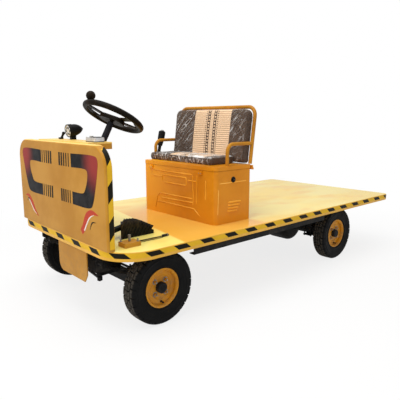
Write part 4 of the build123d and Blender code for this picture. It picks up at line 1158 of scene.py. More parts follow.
@dataclass
class CowlTrim:
    """Tape on the cowl's folded sides, and the film ornaments on its front.

    Args:
        half: half width of the cowl.
        top: height of its top.
        radius: radius of its upper corners.
        front: place of its front face along x.
        depth: depth of its folded sides.
        edge: radius of its rounded front edge.
        spans: lower and upper end of each dark bar, as distances up the folded side from the deck.
        slant: how far a bar's rear edge lies over its middle.
        deck: height of the deck's top.
        outer: corners along y and z of the left C's outer line.
        inner: corners of its inner line.
        groups: right and left end, foot and top of each group of upright bars.
    """

    half: float = 0.5523
    top: float = 0.996
    radius: float = 0.115
    front: float = 1.385
    depth: float = 0.040
    edge: float = 0.011
    spans: tuple[Flat, ...] = ((0.071, 0.165), (0.260, 0.345), (0.445, 0.530))
    slant: float = 0.0175
    deck: float = 0.470
    outer: tuple[Flat, ...] = (
        (0.196, 0.941), (0.455, 0.947), (0.492, 0.925), (0.470, 0.83), (0.425, 0.690), (0.388, 0.664),
        (0.196, 0.666),
    )
    inner: tuple[Flat, ...] = (
        (0.196, 0.867), (0.345, 0.872), (0.378, 0.860), (0.372, 0.81), (0.342, 0.755), (0.318, 0.736),
        (0.196, 0.736),
    )
    groups: tuple[tuple[float, float, float, float], ...] = (
        (-0.190, -0.047, 0.867, 0.941), (0.038, 0.184, 0.867, 0.941),
        (-0.190, -0.050, 0.666, 0.738), (0.048, 0.184, 0.666, 0.738),
    )

    def flange(self, along: Array, forward: Array, side: int) -> tuple[Array, Array]:
        """Point and normal on the folded side: up the straight side and round the corner to the top.

        Args:
            along: distance up the side from the deck, of any shape.
            forward: place along x, of the same shape.
            side: 1 for the left side and -1 for the right.

        Returns:
            Points and unit normals, with a last axis of three.
        """
        straight = self.top - self.radius - self.deck
        turn = np.clip((along - straight) / self.radius, 0, math.pi / 2)
        y = self.half - self.radius * (1 - np.cos(turn))
        z = self.deck + np.minimum(along, straight) + self.radius * np.sin(turn)
        points = np.stack([forward, side * y, z], axis=-1)
        normals = np.stack([0 * turn, side * np.cos(turn), np.sin(turn)], axis=-1)
        return points, normals

    def side_band(self, near: Flat, far: Flat, side: int, high: float) -> Shell:
        """Plate across the folded side between two slanted ends.

        Args:
            near: distance up the side of the near end's rear and front edges.
            far: the same for the far end.
            side: 1 for the left side and -1 for the right.
            high: distance of its shown face from the cowl.

        Returns:
            The plate.
        """
        along, across = slanted(near, far, 0.006)
        width = self.depth - self.edge - 0.002
        forward = np.broadcast_to(self.front - self.depth + 0.001 + width * across, along.shape)
        points, normals = self.flange(along, forward, side)
        return plate(points, normals, FILM[0], high)

    def on_front(self, flat: Array, low: float, high: float) -> Shell:
        """Plate on the front face over a (rows, columns, 2) grid of places along y and z."""
        return plate(np.insert(flat, 0, self.front, axis=2), np.array(AHEAD), low, high)

    def ring_half(self, side: int) -> Shell:
        """One C of the ornament: a strip between an outer and an inner line with rounded corners.

        Args:
            side: 1 for the left C and -1 for the right.

        Returns:
            The strip.
        """
        outer, inner = (resampled(smooth_line(line), 90)[:, None] for line in (self.outer, self.inner))
        share = np.linspace(0, 1, 7)[None, :, None]
        return self.on_front((inner * (1 - share) + outer * share) * (side, 1), *FILM)

    def bars(self) -> Shell:
        """The four groups of upright bars between the two Cs, wider towards the left or the right.

        Returns:
            The bars as one shell.
        """
        shells = []
        for low, high, bottom, top in self.groups:
            pitch = (high - low) / 5
            for count in range(5):
                left = low + (count + 0.18) * pitch
                wider = count if low <= 0 else 4 - count
                edges = np.array([left, left + (0.34 + 0.08 * wider) * pitch])
                y, z = np.meshgrid(edges, np.array([bottom, top]), indexing="ij")
                shells.append(self.on_front(np.stack([y + 0.05 * (z - bottom), z], axis=-1), *FILM))
        return joined(shells)

    def blade(self, spine: tuple[Flat, ...], widths: tuple[float, ...], low: float, high: float) -> Shell:
        """Curved blade: a strip of changing width along a smoothed line on the cowl's front.

        Args:
            spine: corners of its middle line, along y and z.
            widths: its width at even steps along the line.
            low: distance of its hidden face from the cowl.
            high: distance of its shown face.

        Returns:
            The blade.
        """
        line = resampled(smooth_line(spine), 40)
        tangent = np.gradient(line, axis=0)
        tangent /= np.linalg.norm(tangent, axis=1, keepdims=True)
        normal = np.stack([-tangent[:, 1], tangent[:, 0]], axis=1)
        width = np.interp(np.linspace(0, 1, 40), np.linspace(0, 1, len(widths)), widths)[:, None, None]
        share = np.linspace(-0.5, 0.5, 5)[None, :, None]
        return self.on_front(line[:, None] + normal[:, None] * share * width, low, high)

    def build(self, finishes: Finishes) -> None:
        """Lay the side tape, the ornament and the two flashes.

        Args:
            finishes: the shared finishes.
        """
        tape, bars = [], []
        for side in (1, -1):
            tape.append(self.side_band((0.012, 0.012), (0.528, 0.528), side, 0.0003))
            for low, high in self.spans:
                length = high - low
                rear, front = low + self.slant, low - self.slant
                bars.append(self.side_band((rear, front), (rear + length, front + length), side, 0.0007))
        rings = [self.ring_half(1), self.ring_half(-1)]
        make_piece("cowl_tape", joined(tape), finishes["tape_yellow"])
        make_piece("cowl_tape_bars", joined(bars), finishes["tape_black"])
        make_piece("cowl_ornament", joined(rings), finishes["ornament"])
        make_piece("cowl_bars", self.bars(), finishes["tape_black"])
        for name, (finish, film, blades) in FLASHES.items():
            shells = [self.blade(*blade, *film) for blade in blades]
            make_piece(name, joined(shells), finishes[finish])


@dataclass
class Wheel:
    """Dressing of one wheel: a treaded tyre, studs on washers, a valve and the hub's cap.

    Args:
        name: which wheel, such as front_left.
        axle: place of its axle along x.
        side: 1 on the left and -1 on the right.
        track_half: half the distance between the wheels' middles.
        radius: radius of the tyre.
        blocks: number of tread blocks in a row.
        groove: depth of the grooves.
        row: distance of the outer grooves from the tyre's middle.
        zigzag: how far the grooves swing to either side.
        steps: points round the tyre.
        nuts: number of studs.
        nut_circle: radius of the circle that they stand on.
    """

    name: str
    axle: float
    side: int
    track_half: float = 0.529
    radius: float = 0.2075
    blocks: int = 26
    groove: float = 0.0085
    row: float = 0.0215
    zigzag: float = 0.0036
    steps: int = 624
    nuts: int = 4
    nut_circle: float = 0.051

    @property
    def centre(self) -> Array:
        """Middle of the wheel."""
        return np.array([self.axle, self.side * self.track_half, self.radius])

    def section(self) -> tuple[Array, Array]:
        """Cross-section of the tyre.

        Returns:
            (k, 2) radii and widths in metres from the inner bead round the crown to the outer bead, and
            (k,) how far each point is part of the tread.
        """
        half = [
            (0.1050, 0.0340), (0.1110, 0.0345), (0.1145, 0.0375), (0.1180, 0.0420), (0.1225, 0.0440),
            (0.1232, 0.0452), (0.1270, 0.0452), (0.1278, 0.0446), (0.1400, 0.0470), (0.1550, 0.0484),
            (0.1660, 0.0490), (0.1668, 0.0499), (0.1700, 0.0499), (0.1708, 0.0492), (0.1800, 0.0496),
            (0.1870, 0.0499), (0.1930, 0.0500), (0.1968, 0.0482), (0.2005, 0.0452), (0.2035, 0.0418),
            (0.2058, 0.0382),
        ]
        crown = np.arange(-0.0360, 0.0361, 0.0018)
        lower = np.array(half) * (1, -1)
        top = np.stack([self.radius - 0.9 * crown**2, crown], axis=1)
        section = np.concatenate([lower, top, np.array(half)[::-1]])
        section[:, 0] = np.minimum(section[:, 0], self.radius)
        tread = step_up(section[:, 0], 0.1800, 0.1955)
        return section, tread

    def cut(self, turn: Array, width: Array) -> Array:
        """Depth share of the tread's grooves.

        Four rows of blocks: zigzag grooves run round the tyre, and in each row cross grooves stand half a
        block further on than in the next row.

        Args:
            turn: angle round the tyre as a number of blocks.
            width: place across the tyre.

        Returns:
            1 in the middle of a groove and 0 on a block.
        """
        zig = self.zigzag * (4 * np.abs((turn % 1.0) - 0.5) - 1)
        zag = self.zigzag * (4 * np.abs(((turn + 0.5) % 1.0) - 0.5) - 1)
        middles = (zig, self.row + zag, zag - self.row)
        away = np.minimum.reduce([np.abs(width - middle) for middle in middles])
        ring = 1 - step_up(away, 0.0016, 0.0030)
        inner = np.abs(width) < self.row + zag * np.sign(width)
        phase = np.where(inner, 0.5, 0.0) + 3.2 * np.abs(width) * np.where(inner, -1.0, 1.0)
        pitch = 2 * math.pi * self.radius / self.blocks
        across = np.abs(((turn + phase) % 1.0) - 0.5) * pitch
        cross = 1 - step_up(across, 0.0019, 0.0034)
        sipe = np.abs(((turn + phase + 0.5) % 1.0) - 0.5) * pitch
        small = 0.35 * (1 - step_up(sipe, 0.0004, 0.0016)) * (np.abs(width) < 0.046)
        return np.maximum.reduce([ring, cross, small])

    def tyre(self) -> Shell:
        """The tyre: its section carried round the axle, with the grooves cut towards the axle.

        Returns:
            The closed shell.
        """
        section, tread = self.section()
        radius, width = section.T[:, None]
        angle = np.linspace(0, 2 * math.pi, self.steps, endpoint=False)[:, None]
        share = self.cut(angle * self.blocks / (2 * math.pi), width) * tread
        width = width * (1 - 0.05 * share * (radius < 0.2))
        radius = radius - share * self.groove
        points = [radius * np.sin(angle), self.side * width + 0 * angle, -radius * np.cos(angle)]
        return grid_shell(np.stack(points, axis=-1) + self.centre, close_rows=True, close_columns=True)

    def turned(self, profile: Array, radial: float, angle: float, steps: int) -> Shell:
        """Small turned piece on the wheel's disc, its axis along the axle."""
        place = self.centre + radial * np.array([math.sin(angle), 0, math.cos(angle)])
        return lathe(profile, steps, place, (0, self.side, 0))

    def build(self, finishes: Finishes) -> None:
        """Make the tyre and the fittings on the rim.

        Args:
            finishes: the shared finishes.
        """
        body = "wheel_" + self.name
        rubber = TreadRubber("tread_" + self.name, tuple(self.centre)).made()
        tyre = make_piece("tread_" + self.name, self.tyre(), rubber, body, 50)
        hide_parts("tyre_" + self.name)
        washer = [(0, 0.0138), (0.0155, 0.0138), (0.0155, 0.0155), (0.0145, 0.0165), (0, 0.0165)]
        stud = [(0, 0.0255), (0.0052, 0.0255), (0.0052, 0.0320), (0.0040, 0.0335), (0, 0.0335)]
        fits = []
        for count in range(self.nuts):
            angle = 2 * math.pi * (count + 0.5) / self.nuts
            fits += [self.turned(part, self.nut_circle, angle, 16) for part in (washer, stud)]
        make_piece("studs_" + self.name, joined(fits), finishes["zinc"], body)
        valve = [
            (0, 0.010), (0.0070, 0.010), (0.0070, 0.020), (0.0046, 0.024), (0.0046, 0.042),
            (0.0038, 0.044), (0, 0.044),
        ]
        cap = [
            (0, 0.0425), (0.0190, 0.0425), (0.0190, 0.0448), (0.0150, 0.0456), (0.0140, 0.0446),
            (0, 0.0446),
        ]
        trims = [self.turned(valve, 0.083, math.pi, 20), self.turned(cap, 0, 0, 32)]
        make_piece("valve_" + self.name, joined(trims), finishes["plastic"], body)


@dataclass
class Dashboard:
    """Fittings on the dash: the silver instrument box and the headlamp's lens.

    Args:
        top: height of the dash's top.
        box: middle of the instrument box along x and y.
        box_half: half sizes of the box.
        box_height: height of the box.
        dial: place of the round dial's middle along y, from the box's middle.
        key: place of the key switch, likewise.
        lamp: middle of the lamp's front face.
        lamp_radius: radius of that face.
        lamp_pitch: how far the lamp looks down, in degrees.
        cells: number of light cells.
        cell_circle: radius of the circle that they stand on.
    """

    top: float = 1.000
    box: Flat = (1.262, 0.245)
    box_half: Flat = (0.030, 0.0525)
    box_height: float = 0.024
    dial: float = 0.024
    key: float = -0.038
    lamp: Place = (1.244, -0.106, 1.052)
    lamp_radius: float = 0.038
    lamp_pitch: float = 7.0
    cells: int = 6
    cell_circle: float = 0.0205

    def build(self, finishes: Finishes) -> None:
        """Make the pieces.

        Args:
            finishes: the shared finishes.
        """
        x, y = self.box
        top = self.top + self.box_height
        half = (self.box_half[0] + 0.0012, self.box_half[1] + 0.0012, 0.0020)
        gasket = block((x, y, self.top + 0.0022), half, 0.009, 0.0008)
        make_piece("instrument_gasket", gasket, finishes["plastic"])
        bezel = [
            (0, 0), (0.0235, 0), (0.0235, 0.0022), (0.0222, 0.0034), (0.0200, 0.0034), (0.0190, 0.0012),
            (0, 0.0012),
        ]
        ring = lathe(bezel, 40, (x, y + self.dial, top))
        panel = block((x, y - 0.014, top + 0.0008), (0.018, 0.0095, 0.0008), 0.003, 0.0004)
        make_piece("instrument_rings", joined([ring, panel]), finishes["plastic"])
        face = [(0, 0.0011), (0.0188, 0.0011), (0.0188, 0.0017), (0, 0.0017)]
        dial = lathe(face, 40, (x, y + self.dial, top))
        make_piece("instrument_dial", dial, finishes["grey"])
        key = [
            (0, 0), (0.0105, 0), (0.0105, 0.004), (0.0090, 0.0065), (0.0050, 0.0065), (0.0045, 0.0050),
            (0, 0.0050),
        ]
        fits = [lathe(key, 28, (x, y + self.key, top))]
        head = [(0, 0), (0.0035, 0), (0.0030, 0.0016), (0, 0.0020)]
        for side_x in (-0.024, 0.024):
            for side_y in (-0.046, 0.046):
                fits.append(lathe(head, 16, (x + side_x, y + side_y, top)))
        make_piece("instrument_screws", joined(fits), finishes["zinc"])
        self.headlamp(finishes)

    def headlamp(self, finishes: Finishes) -> None:
        """Rim, lens and light cells of the lamp, on its axis.

        Args:
            finishes: the shared finishes.
        """
        pitch = math.radians(self.lamp_pitch)
        ahead = np.array([math.cos(pitch), 0, -math.sin(pitch)])
        axes = np.stack([ahead, LEFT, np.cross(ahead, LEFT)])
        centre = np.array(self.lamp)
        outer, inner = self.lamp_radius + 0.0004, self.lamp_radius - 0.0035
        rim = [
            (inner, 0.0002), (inner, 0.0030), (inner + 0.0010, 0.0058), (outer - 0.0010, 0.0060),
            (outer, 0.0048), (outer, -0.0100), (outer - 0.0008, -0.0104), (outer - 0.0008, 0.0002),
            (inner, 0.0002),
        ]
        rim = lathe(rim, 64, centre, ahead, LEFT)
        make_piece("lamp_rim", rim, finishes["plastic"])
        radius = np.linspace(0.0, inner - 0.0004, 40)
        angle = np.linspace(0, 2 * math.pi, 48, endpoint=False)[:, None]
        facets = 0.0006 * np.abs(np.sin(4 * angle)) * np.sin(math.pi * radius / radius[-1])
        height = 0.0026 + facets + 0.0010 * np.cos(radius * 2 * math.pi / 0.0112)
        height[:, -1] = 0.0026
        front = np.stack([height, radius * np.cos(angle), radius * np.sin(angle)], axis=-1)
        back = front.copy()
        back[..., 0] = 0.0006
        points = np.concatenate([front, back[:, ::-1]], axis=1) @ axes + centre
        lens = grid_shell(points, close_rows=True)
        glass = Graph("lamp_glass")
        clouds = glass.between(glass.noise(240, 3, 0.6), 0.35, 0.65)
        haze = glass.mixed(clouds, (0.92, 0.93, 0.94), (0.48, 0.48, 0.47))
        ripple = glass.bump(glass.noise(300, 2, 0.5), 0.2, 0.0006)
        glass.surface(Base_Color=haze, Roughness=0.12, Normal=ripple, Coat_Weight=1.0)
        make_piece("lamp_lens", lens, glass.material, sharp_above=60)
        cup = [
            (0.0040, 0.0), (0.0072, 0.0), (0.0072, 0.0016), (0.0060, 0.0022), (0.0040, 0.0004),
            (0.0040, 0.0),
        ]
        bead = [(0, 0.0), (0.0036, 0.0), (0.0030, 0.0016), (0, 0.0022)]
        cups, beads = [], []
        for place in range(self.cells):
            turn = 2 * math.pi * place / self.cells
            spot = (0.0034, self.cell_circle * math.cos(turn), self.cell_circle * math.sin(turn)) @ axes
            cups.append(lathe(cup, 20, centre + spot, ahead, LEFT))
            beads.append(lathe(bead, 16, centre + spot, ahead, LEFT))
        make_piece("lamp_cups", joined(cups), finishes["plastic"])
        diode = Graph("lamp_cells")
        spots = diode.between(diode.noise(500, 2, 0.5), 0.3, 0.7)
        pale = diode.mixed(spots, (0.92, 0.90, 0.80), (0.70, 0.70, 0.66))
        diode.surface(Base_Color=pale, Roughness=0.15, Coat_Weight=1.0)
        make_piece("lamp_cells", joined(beads), diode.material)


@dataclass
class Treadle:
    """Ribbed rubber of the foot pedal, and the fittings of the small block beside it.

    Args:
        heel: place of the pad's low rear edge along x and z.
        ridge: place along x and z where its slope changes.
        toe: place of its raised front edge along x and z.
        sides: its right and left edges along y.
        slant: how far its front edge lies further back on the right.
        pitch: spacing of the fins and of the bars.
        floor: height of the deck's top.
        rods: start, end and radius of each rod beside the pad.
    """

    heel: Flat = (0.985, 0.490)
    ridge: Flat = (1.100, 0.548)
    toe: Flat = (1.205, 0.556)
    sides: Flat = (0.310, 0.385)
    slant: float = 0.045
    pitch: float = 0.0185
    floor: float = 0.470
    rods: tuple[tuple[Place, Place, float], ...] = (
        ((1.190, 0.486, 0.4755), (0.955, 0.487, 0.4755), 0.0032),
        ((1.180, 0.503, 0.4735), (1.010, 0.504, 0.4735), 0.0015),
    )

    def top(self, x: float) -> float:
        """Height of the pad's top at a place along x."""
        return float(np.interp(x, *zip(self.heel, self.ridge, self.toe)))

    def fins(self) -> list[Shell]:
        """Fins across the pad that lean back and stand over it.

        Returns:
            The fins, one shell each.
        """
        left = self.sides[1] + 0.003
        lean = np.array([-0.66, 0.0, 0.75])
        axes = np.stack([LEFT, -np.cross(LEFT, lean), lean])
        shells = []
        for x in np.arange(self.heel[0] + 0.030, self.toe[0] + 0.001, self.pitch):
            cut = max(0.0, (x - self.toe[0] + self.slant) / self.slant)
            right = self.sides[0] + cut * (self.sides[1] - self.sides[0]) + 0.002
            low = np.array([x, 0.5 * (right + left), self.top(x) - 0.016])
            half = (0.5 * (left - right), 0.0045, 0.022)
            shells.append(block(low + 0.016 * lean, half, 0.003, 0.002, axes))
        return shells

    def bars(self) -> list[Shell]:
        """Leaning bars down the pad's left side.

        Returns:
            The bars, one shell each.
        """
        half = [(0.0045, -0.003), (0.0032, 0.0030), (0.0, 0.0042)]
        section = np.array([(-0.0045, -0.003), *half, (-0.0032, 0.0030)])
        shells = []
        for x in np.arange(self.heel[0] + 0.030, self.toe[0] + 0.012, self.pitch):
            rise = self.top(x) - self.floor - 0.006
            low = np.array([min(x + 0.6 * rise, self.toe[0] - 0.004), self.sides[1], self.floor + 0.004])
            high = np.array([x, self.sides[1], self.top(x) + 0.002])
            path = low + (high - low) * np.linspace(0, 1, 8)[:, None]
            shells.append(swept(path, section, LEFT, np.linspace(0.8, 1.0, 8)))
        return shells

    def build(self, finishes: Finishes) -> None:
        """Make the ribs, the pins and the rods.

        Args:
            finishes: the shared finishes.
        """
        ribs = joined(self.fins() + self.bars())
        make_piece("treadle_ribs", ribs, finishes["fins"])
        pin = [
            (0, 0), (0.008, 0), (0.008, 0.003), (0.0045, 0.004), (0.0045, 0.014), (0.0035, 0.016),
            (0, 0.016),
        ]
        places = ((1.272, 0.488, 0.4935), (1.198, 0.536, 0.4935), (0.966, 0.487, 0.4695))
        pins = [lathe(pin, 18, place) for place in places]
        make_piece("pedal_pins", joined(pins), finishes["zinc"])
        rods = [swept(np.linspace(start, end, 12), circle(size, 10), UP) for start, end, size in self.rods]
        rods.append(block((0.985, 0.487, 0.477), (0.016, 0.0065, 0.0060), 0.003, 0.001))
        make_piece("pedal_rod", joined(rods), finishes["spring"])


FRONT_RIDGES = (
    ((-0.026, 0.692), (-0.026, 0.743), (0.230, 0.743), (0.230, 0.692), (-0.026, 0.692)),
    ((-0.150, 0.771), (0.080, 0.769), (0.290, 0.769)),
    ((0.243, 0.7285), (0.328, 0.7285)),
    ((-0.140, 0.730), (-0.026, 0.731)),
    ((-0.060, 0.612), (0.120, 0.611), (0.295, 0.612)),
    ((-0.049, 0.580), (0.130, 0.583), (0.303, 0.588)),
    ((-0.113, 0.499), (-0.085, 0.584), (-0.057, 0.612)),
    ((-0.100, 0.540), (-0.057, 0.551), (0.303, 0.548), (0.363, 0.505)),
    ((0.292, 0.769), (0.292, 0.690), (0.300, 0.617), (0.290, 0.560)),
    ((0.334, 0.773), (0.331, 0.700), (0.328, 0.580)),
    ((0.415, 0.745), (0.415, 0.620)),
)
SIDE_LINES = (((0.571, 0.729), (0.323, 0.729)), ((0.576, 0.695), (0.582, 0.532)))


@dataclass
class SeatBoxTrim:
    """Pressings, lock, louvres and rivets on the seat box, and the hand brake's button.

    Args:
        front: place of its front face along x.
        left: place of its left side along y.
        lock: middle of the lock along x and z.
        louvres: number of louvres on the left side.
    """

    front: float = 0.605
    left: float = 0.502
    lock: Flat = (0.448, 0.746)
    louvres: int = 4

    def ridge(self, corners: tuple[Flat, ...], width: float, height: float, side: bool = False) -> Shell:
        """Low round ridge along a smoothed line on the front face or on the left side.

        Args:
            corners: the line's corners in the face, its place across and then up.
            width: half the ridge's width.
            height: how far it stands out.
            side: whether it is on the left side.

        Returns:
            The ridge.
        """
        line = resampled(smooth_line(resampled(np.array(corners), 60), 1), 60)
        taper = np.clip(np.sin(math.pi * np.linspace(0, 1, 60)) * 6, 0.15, 1)
        right = [(-width, 0), (-0.7 * width, 0.6 * height)]
        section = np.array([*right, (0, height), (0.7 * width, 0.6 * height), (width, 0), (0, -0.001)])
        path = np.insert(line, 1, self.left, axis=1) if side else np.insert(line, 0, self.front, axis=1)
        return swept(path, section, LEFT if side else AHEAD, taper)

    def build(self, finishes: Finishes) -> None:
        """Make the pieces.

        Args:
            finishes: the shared finishes.
        """
        # the flange lines are painted lighter than the box: painted highlights
        lines = [self.ridge(line, 0.0030, 0.0022, True) for line in SIDE_LINES]
        make_piece("box_side_lines", joined(lines), finishes["bright"])
        # the pressings and louvres take a colour lighter than the box: painted highlights
        ridges = [self.ridge(line, 0.0050, 0.0036) for line in FRONT_RIDGES]
        for count in range(self.louvres):
            z = 0.546 + 0.0187 * count
            right, left = 0.407 - 0.0113 * count, 0.498 - 0.0033 * count
            ridges.append(self.ridge(((right, z), (left, z + 0.002)), 0.0062, 0.0070, True))
        make_piece("box_pressings", joined(ridges), finishes["pressing"])
        x, z = self.lock
        lock = [(0, 0), (0.0190, 0), (0.0185, 0.0030), (0.0150, 0.0045), (0.0130, 0.0030), (0.0, 0.0030)]
        lock = lathe(lock, 36, (x, self.left, z), LEFT)
        make_piece("box_lock", lock, finishes["plastic"])
        barrel = [(0, 0.002), (0.0090, 0.002), (0.0088, 0.0062), (0.0080, 0.0068), (0, 0.0068)]
        barrel = lathe(barrel, 28, (x, self.left, z), LEFT)
        make_piece("box_lock_barrel", barrel, finishes["plastic"])
        slot = block((x, self.left + 0.0069, z), (0.0011, 0.0004, 0.0055), 0.0008, 0.0002)
        make_piece("box_lock_slot", slot, finishes["zinc"])
        head = [(0, 0), (0.0034, 0), (0.0030, 0.0012), (0.0016, 0.0020), (0, 0.0022)]
        rivets = [
            lathe(head, 14, (self.front + 0.010, latch + step, 0.786), AHEAD, LEFT)
            for latch in (-0.150, 0.370)
            for step in (-0.010, 0.010)
        ]
        make_piece("latch_rivets", joined(rivets), finishes["zinc"])
        button = [(0, -0.002), (0.0105, -0.002), (0.0105, 0.0045), (0.0085, 0.0070), (0, 0.0078)]
        button = lathe(button, 28, (0.3707, -0.330, 1.0326), (-0.2207, 0, 0.9753), LEFT)
        make_piece("brake_button", button, finishes["grey"])


class Part(Enum):
    """The two cushions of the seat."""

    SEAT = "seat"
    BACK = "backrest"


@dataclass
class Cushion:
    """One padded cushion in printed woven cloth under clear film.

    Args:
        part: which cushion.
        middle: middle of the cushion.
        half: half sizes across the seat, along it and through it.
        lean: lean of the cushion's plane from level, in degrees.
        corners: radius of its far corners and of its near ones.
        cloth: finish of its cover.
        wrap: finish of the film over it.
        pressure: pressure of the cloth simulation.
        cap: most that a point may move in it, in metres.
        fill: how full the cushion is; not used.
        crown: rise of its upper face in the middle.
    """

    part: Part
    middle: Place
    half: Place
    lean: float
    corners: Flat
    cloth: SeatCloth
    wrap: WrapFilm
    pressure: float = 3.5
    cap: float = 0.004
    fill: float = 0.7
    crown: float = 0.006

    def axes(self) -> Array:
        """Directions across the seat, along the cushion and out of its face.

        Returns:
            Three unit directions, one a row.
        """
        lean = math.radians(self.lean)
        along = np.array([-math.cos(lean), 0, math.sin(lean)])
        return np.stack([LEFT, along, -np.cross(along, LEFT)])

    def form(self) -> Shell:
        """Crowned pillow: rounded rectangles stacked through the thickness, drawn in towards the faces,
        with sides that pull in between the corners.

        Returns:
            The closed shell.
        """
        levels = np.linspace(-1, 1, 15)
        angle = levels * math.pi / 2
        inset = 0.007 * (1 - np.cos(angle)) ** 1.3
        loops = []
        for level, drawn in zip(levels, inset):
            size = (self.half[0] - drawn, self.half[1] - drawn)
            top, foot = (rounded_rectangle(*size, radius, 8) for radius in self.corners)
            flat = np.where(top[:, 1:] > 0, top, foot)
            pull = 0.003 * (1 - level**2)
            flat = flat * (1 - pull * np.cos(np.pi * flat / (2 * flat.max(axis=0)))[:, ::-1])
            loops.append(np.insert(flat, 2, self.half[2] * math.sin(level * math.pi / 2), axis=1))
        share = np.linspace(0, 1, 10)[:-1, None, None]
        under, over = (loop * (1, 1, 0) * share for loop in (loops[0], loops[-1]))
        dome = self.crown * (1 - share[..., 0] ** 2)
        under[..., 2] = loops[0][0, 2] - 0.3 * dome
        over[..., 2] = loops[-1][0, 2] + dome
        local = np.concatenate([under, loops, over[::-1]])
        return grid_shell(np.array(self.middle) + local @ self.axes(), close_columns=True)

    def build(self) -> None:
        """Make the cushion, puff it up, and lay its film."""
        name = self.part.value + "_pad"
        pad = make_piece(name, self.form(), self.cloth.made(), "seat_unit", 60)
        puffed(pad, self.pressure, self.cap)
        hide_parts(self.part.value + "_cushion")
        self.film(pad)

    def film(self, pad: bpy.types.Object) -> None:
        """Clear film: the cushion's own surface moved out by a wavering few millimetres.

        Args:
            pad: the finished cushion.
        """
        mesh = pad.data.copy()
        points, normals = places(mesh.vertices), places(mesh.vertex_normals, "vector")
        wave = np.sin(points @ (61, 43, 37)) * np.sin(points @ (-29, 52, 71))
        wave += 0.5 * np.sin(points @ (17, -83, 97))
        points = points + normals * (0.0022 + 0.0011 * wave)[:, None]
        mesh.vertices.foreach_set("co", points.ravel())
        mesh.materials.clear()
        mesh.materials.append(self.wrap.made())
        film = bpy.data.objects.new(self.part.value + "_film", mesh)
        bpy.context.scene.collection.objects.link(film)
        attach(film, "seat_unit")


def places(items: bpy.types.bpy_prop_collection, name: str = "co") -> Array:
    """A vector of each of a mesh's vertices.

    Args:
        items: the vertices or their normals.
        name: name of the vector.

    Returns:
        (n, 3) vectors.
    """
    values = np.empty(len(items) * 3)
    items.foreach_get(name, values)
    return values.reshape(-1, 3)


def puffed(pad: bpy.types.Object, pressure: float, cap: float) -> None:
    """Swell a pad with a short cloth simulation, and keep the result in its mesh.

    Args:
        pad: the pad; its mesh is remeshed evenly first.
        pressure: pressure inside the cloth.
        cap: most that a point may move.
    """
    scene = bpy.context.scene
    depsgraph = bpy.context.evaluated_depsgraph_get
    remesh = pad.modifiers.new("even", "REMESH")
    remesh.mode = "VOXEL"
    remesh.voxel_size = 0.0055
    even = bpy.data.meshes.new_from_object(pad.evaluated_get(depsgraph()))
    pad.modifiers.clear()
    pad.data = even
    start = places(even.vertices)
    cloth = pad.modifiers.new("swell", "CLOTH")
    settings = cloth.settings
    settings.effector_weights.gravity = 0
    settings.use_pressure, settings.uniform_pressure_force = True, pressure
    settings.tension_stiffness, settings.compression_stiffness = 20, 12
    settings.bending_stiffness, settings.quality = 0.6, 5
    for number in range(1, 21):
        scene.frame_set(number)
    swollen = bpy.data.meshes.new_from_object(pad.evaluated_get(depsgraph()))
    pad.modifiers.clear()
    move = places(swollen.vertices) - start
    size = np.linalg.norm(move, axis=1, keepdims=True)
    move *= np.minimum(1, cap / np.maximum(size, 1e-9))
    even.vertices.foreach_set("co", (start + move).ravel())
    even.polygons.foreach_set("use_smooth", np.ones(len(even.polygons), bool))
    bpy.data.meshes.remove(swollen)
    scene.frame_set(1)


# Set


@dataclass(frozen=True)
class Lamp:
    """One rectangular area light.

    Args:
        name: name of the light.
        place: its middle.
        aim: point that it shines at.
        size: its two sides.
        power: its power in watts.
        colour: colour of its light.
    """

    name: str
    place: Place
    aim: Place
    size: Flat
    power: float
    colour: Colour = (1.0, 0.98, 0.94)

    def build(self) -> None:
        """Hang the light."""
        lamp = bpy.data.lights.new(self.name, "AREA")
        lamp.shape, lamp.size, lamp.size_y = "RECTANGLE", *self.size
        lamp.energy, lamp.color = self.power, self.colour
        item = bpy.data.objects.new(self.name, lamp)
        item.location = self.place
        towards = Vector(self.aim) - Vector(self.place)
        item.rotation_euler = towards.to_track_quat("-Z", "Y").to_euler()
        bpy.context.scene.collection.objects.link(item)


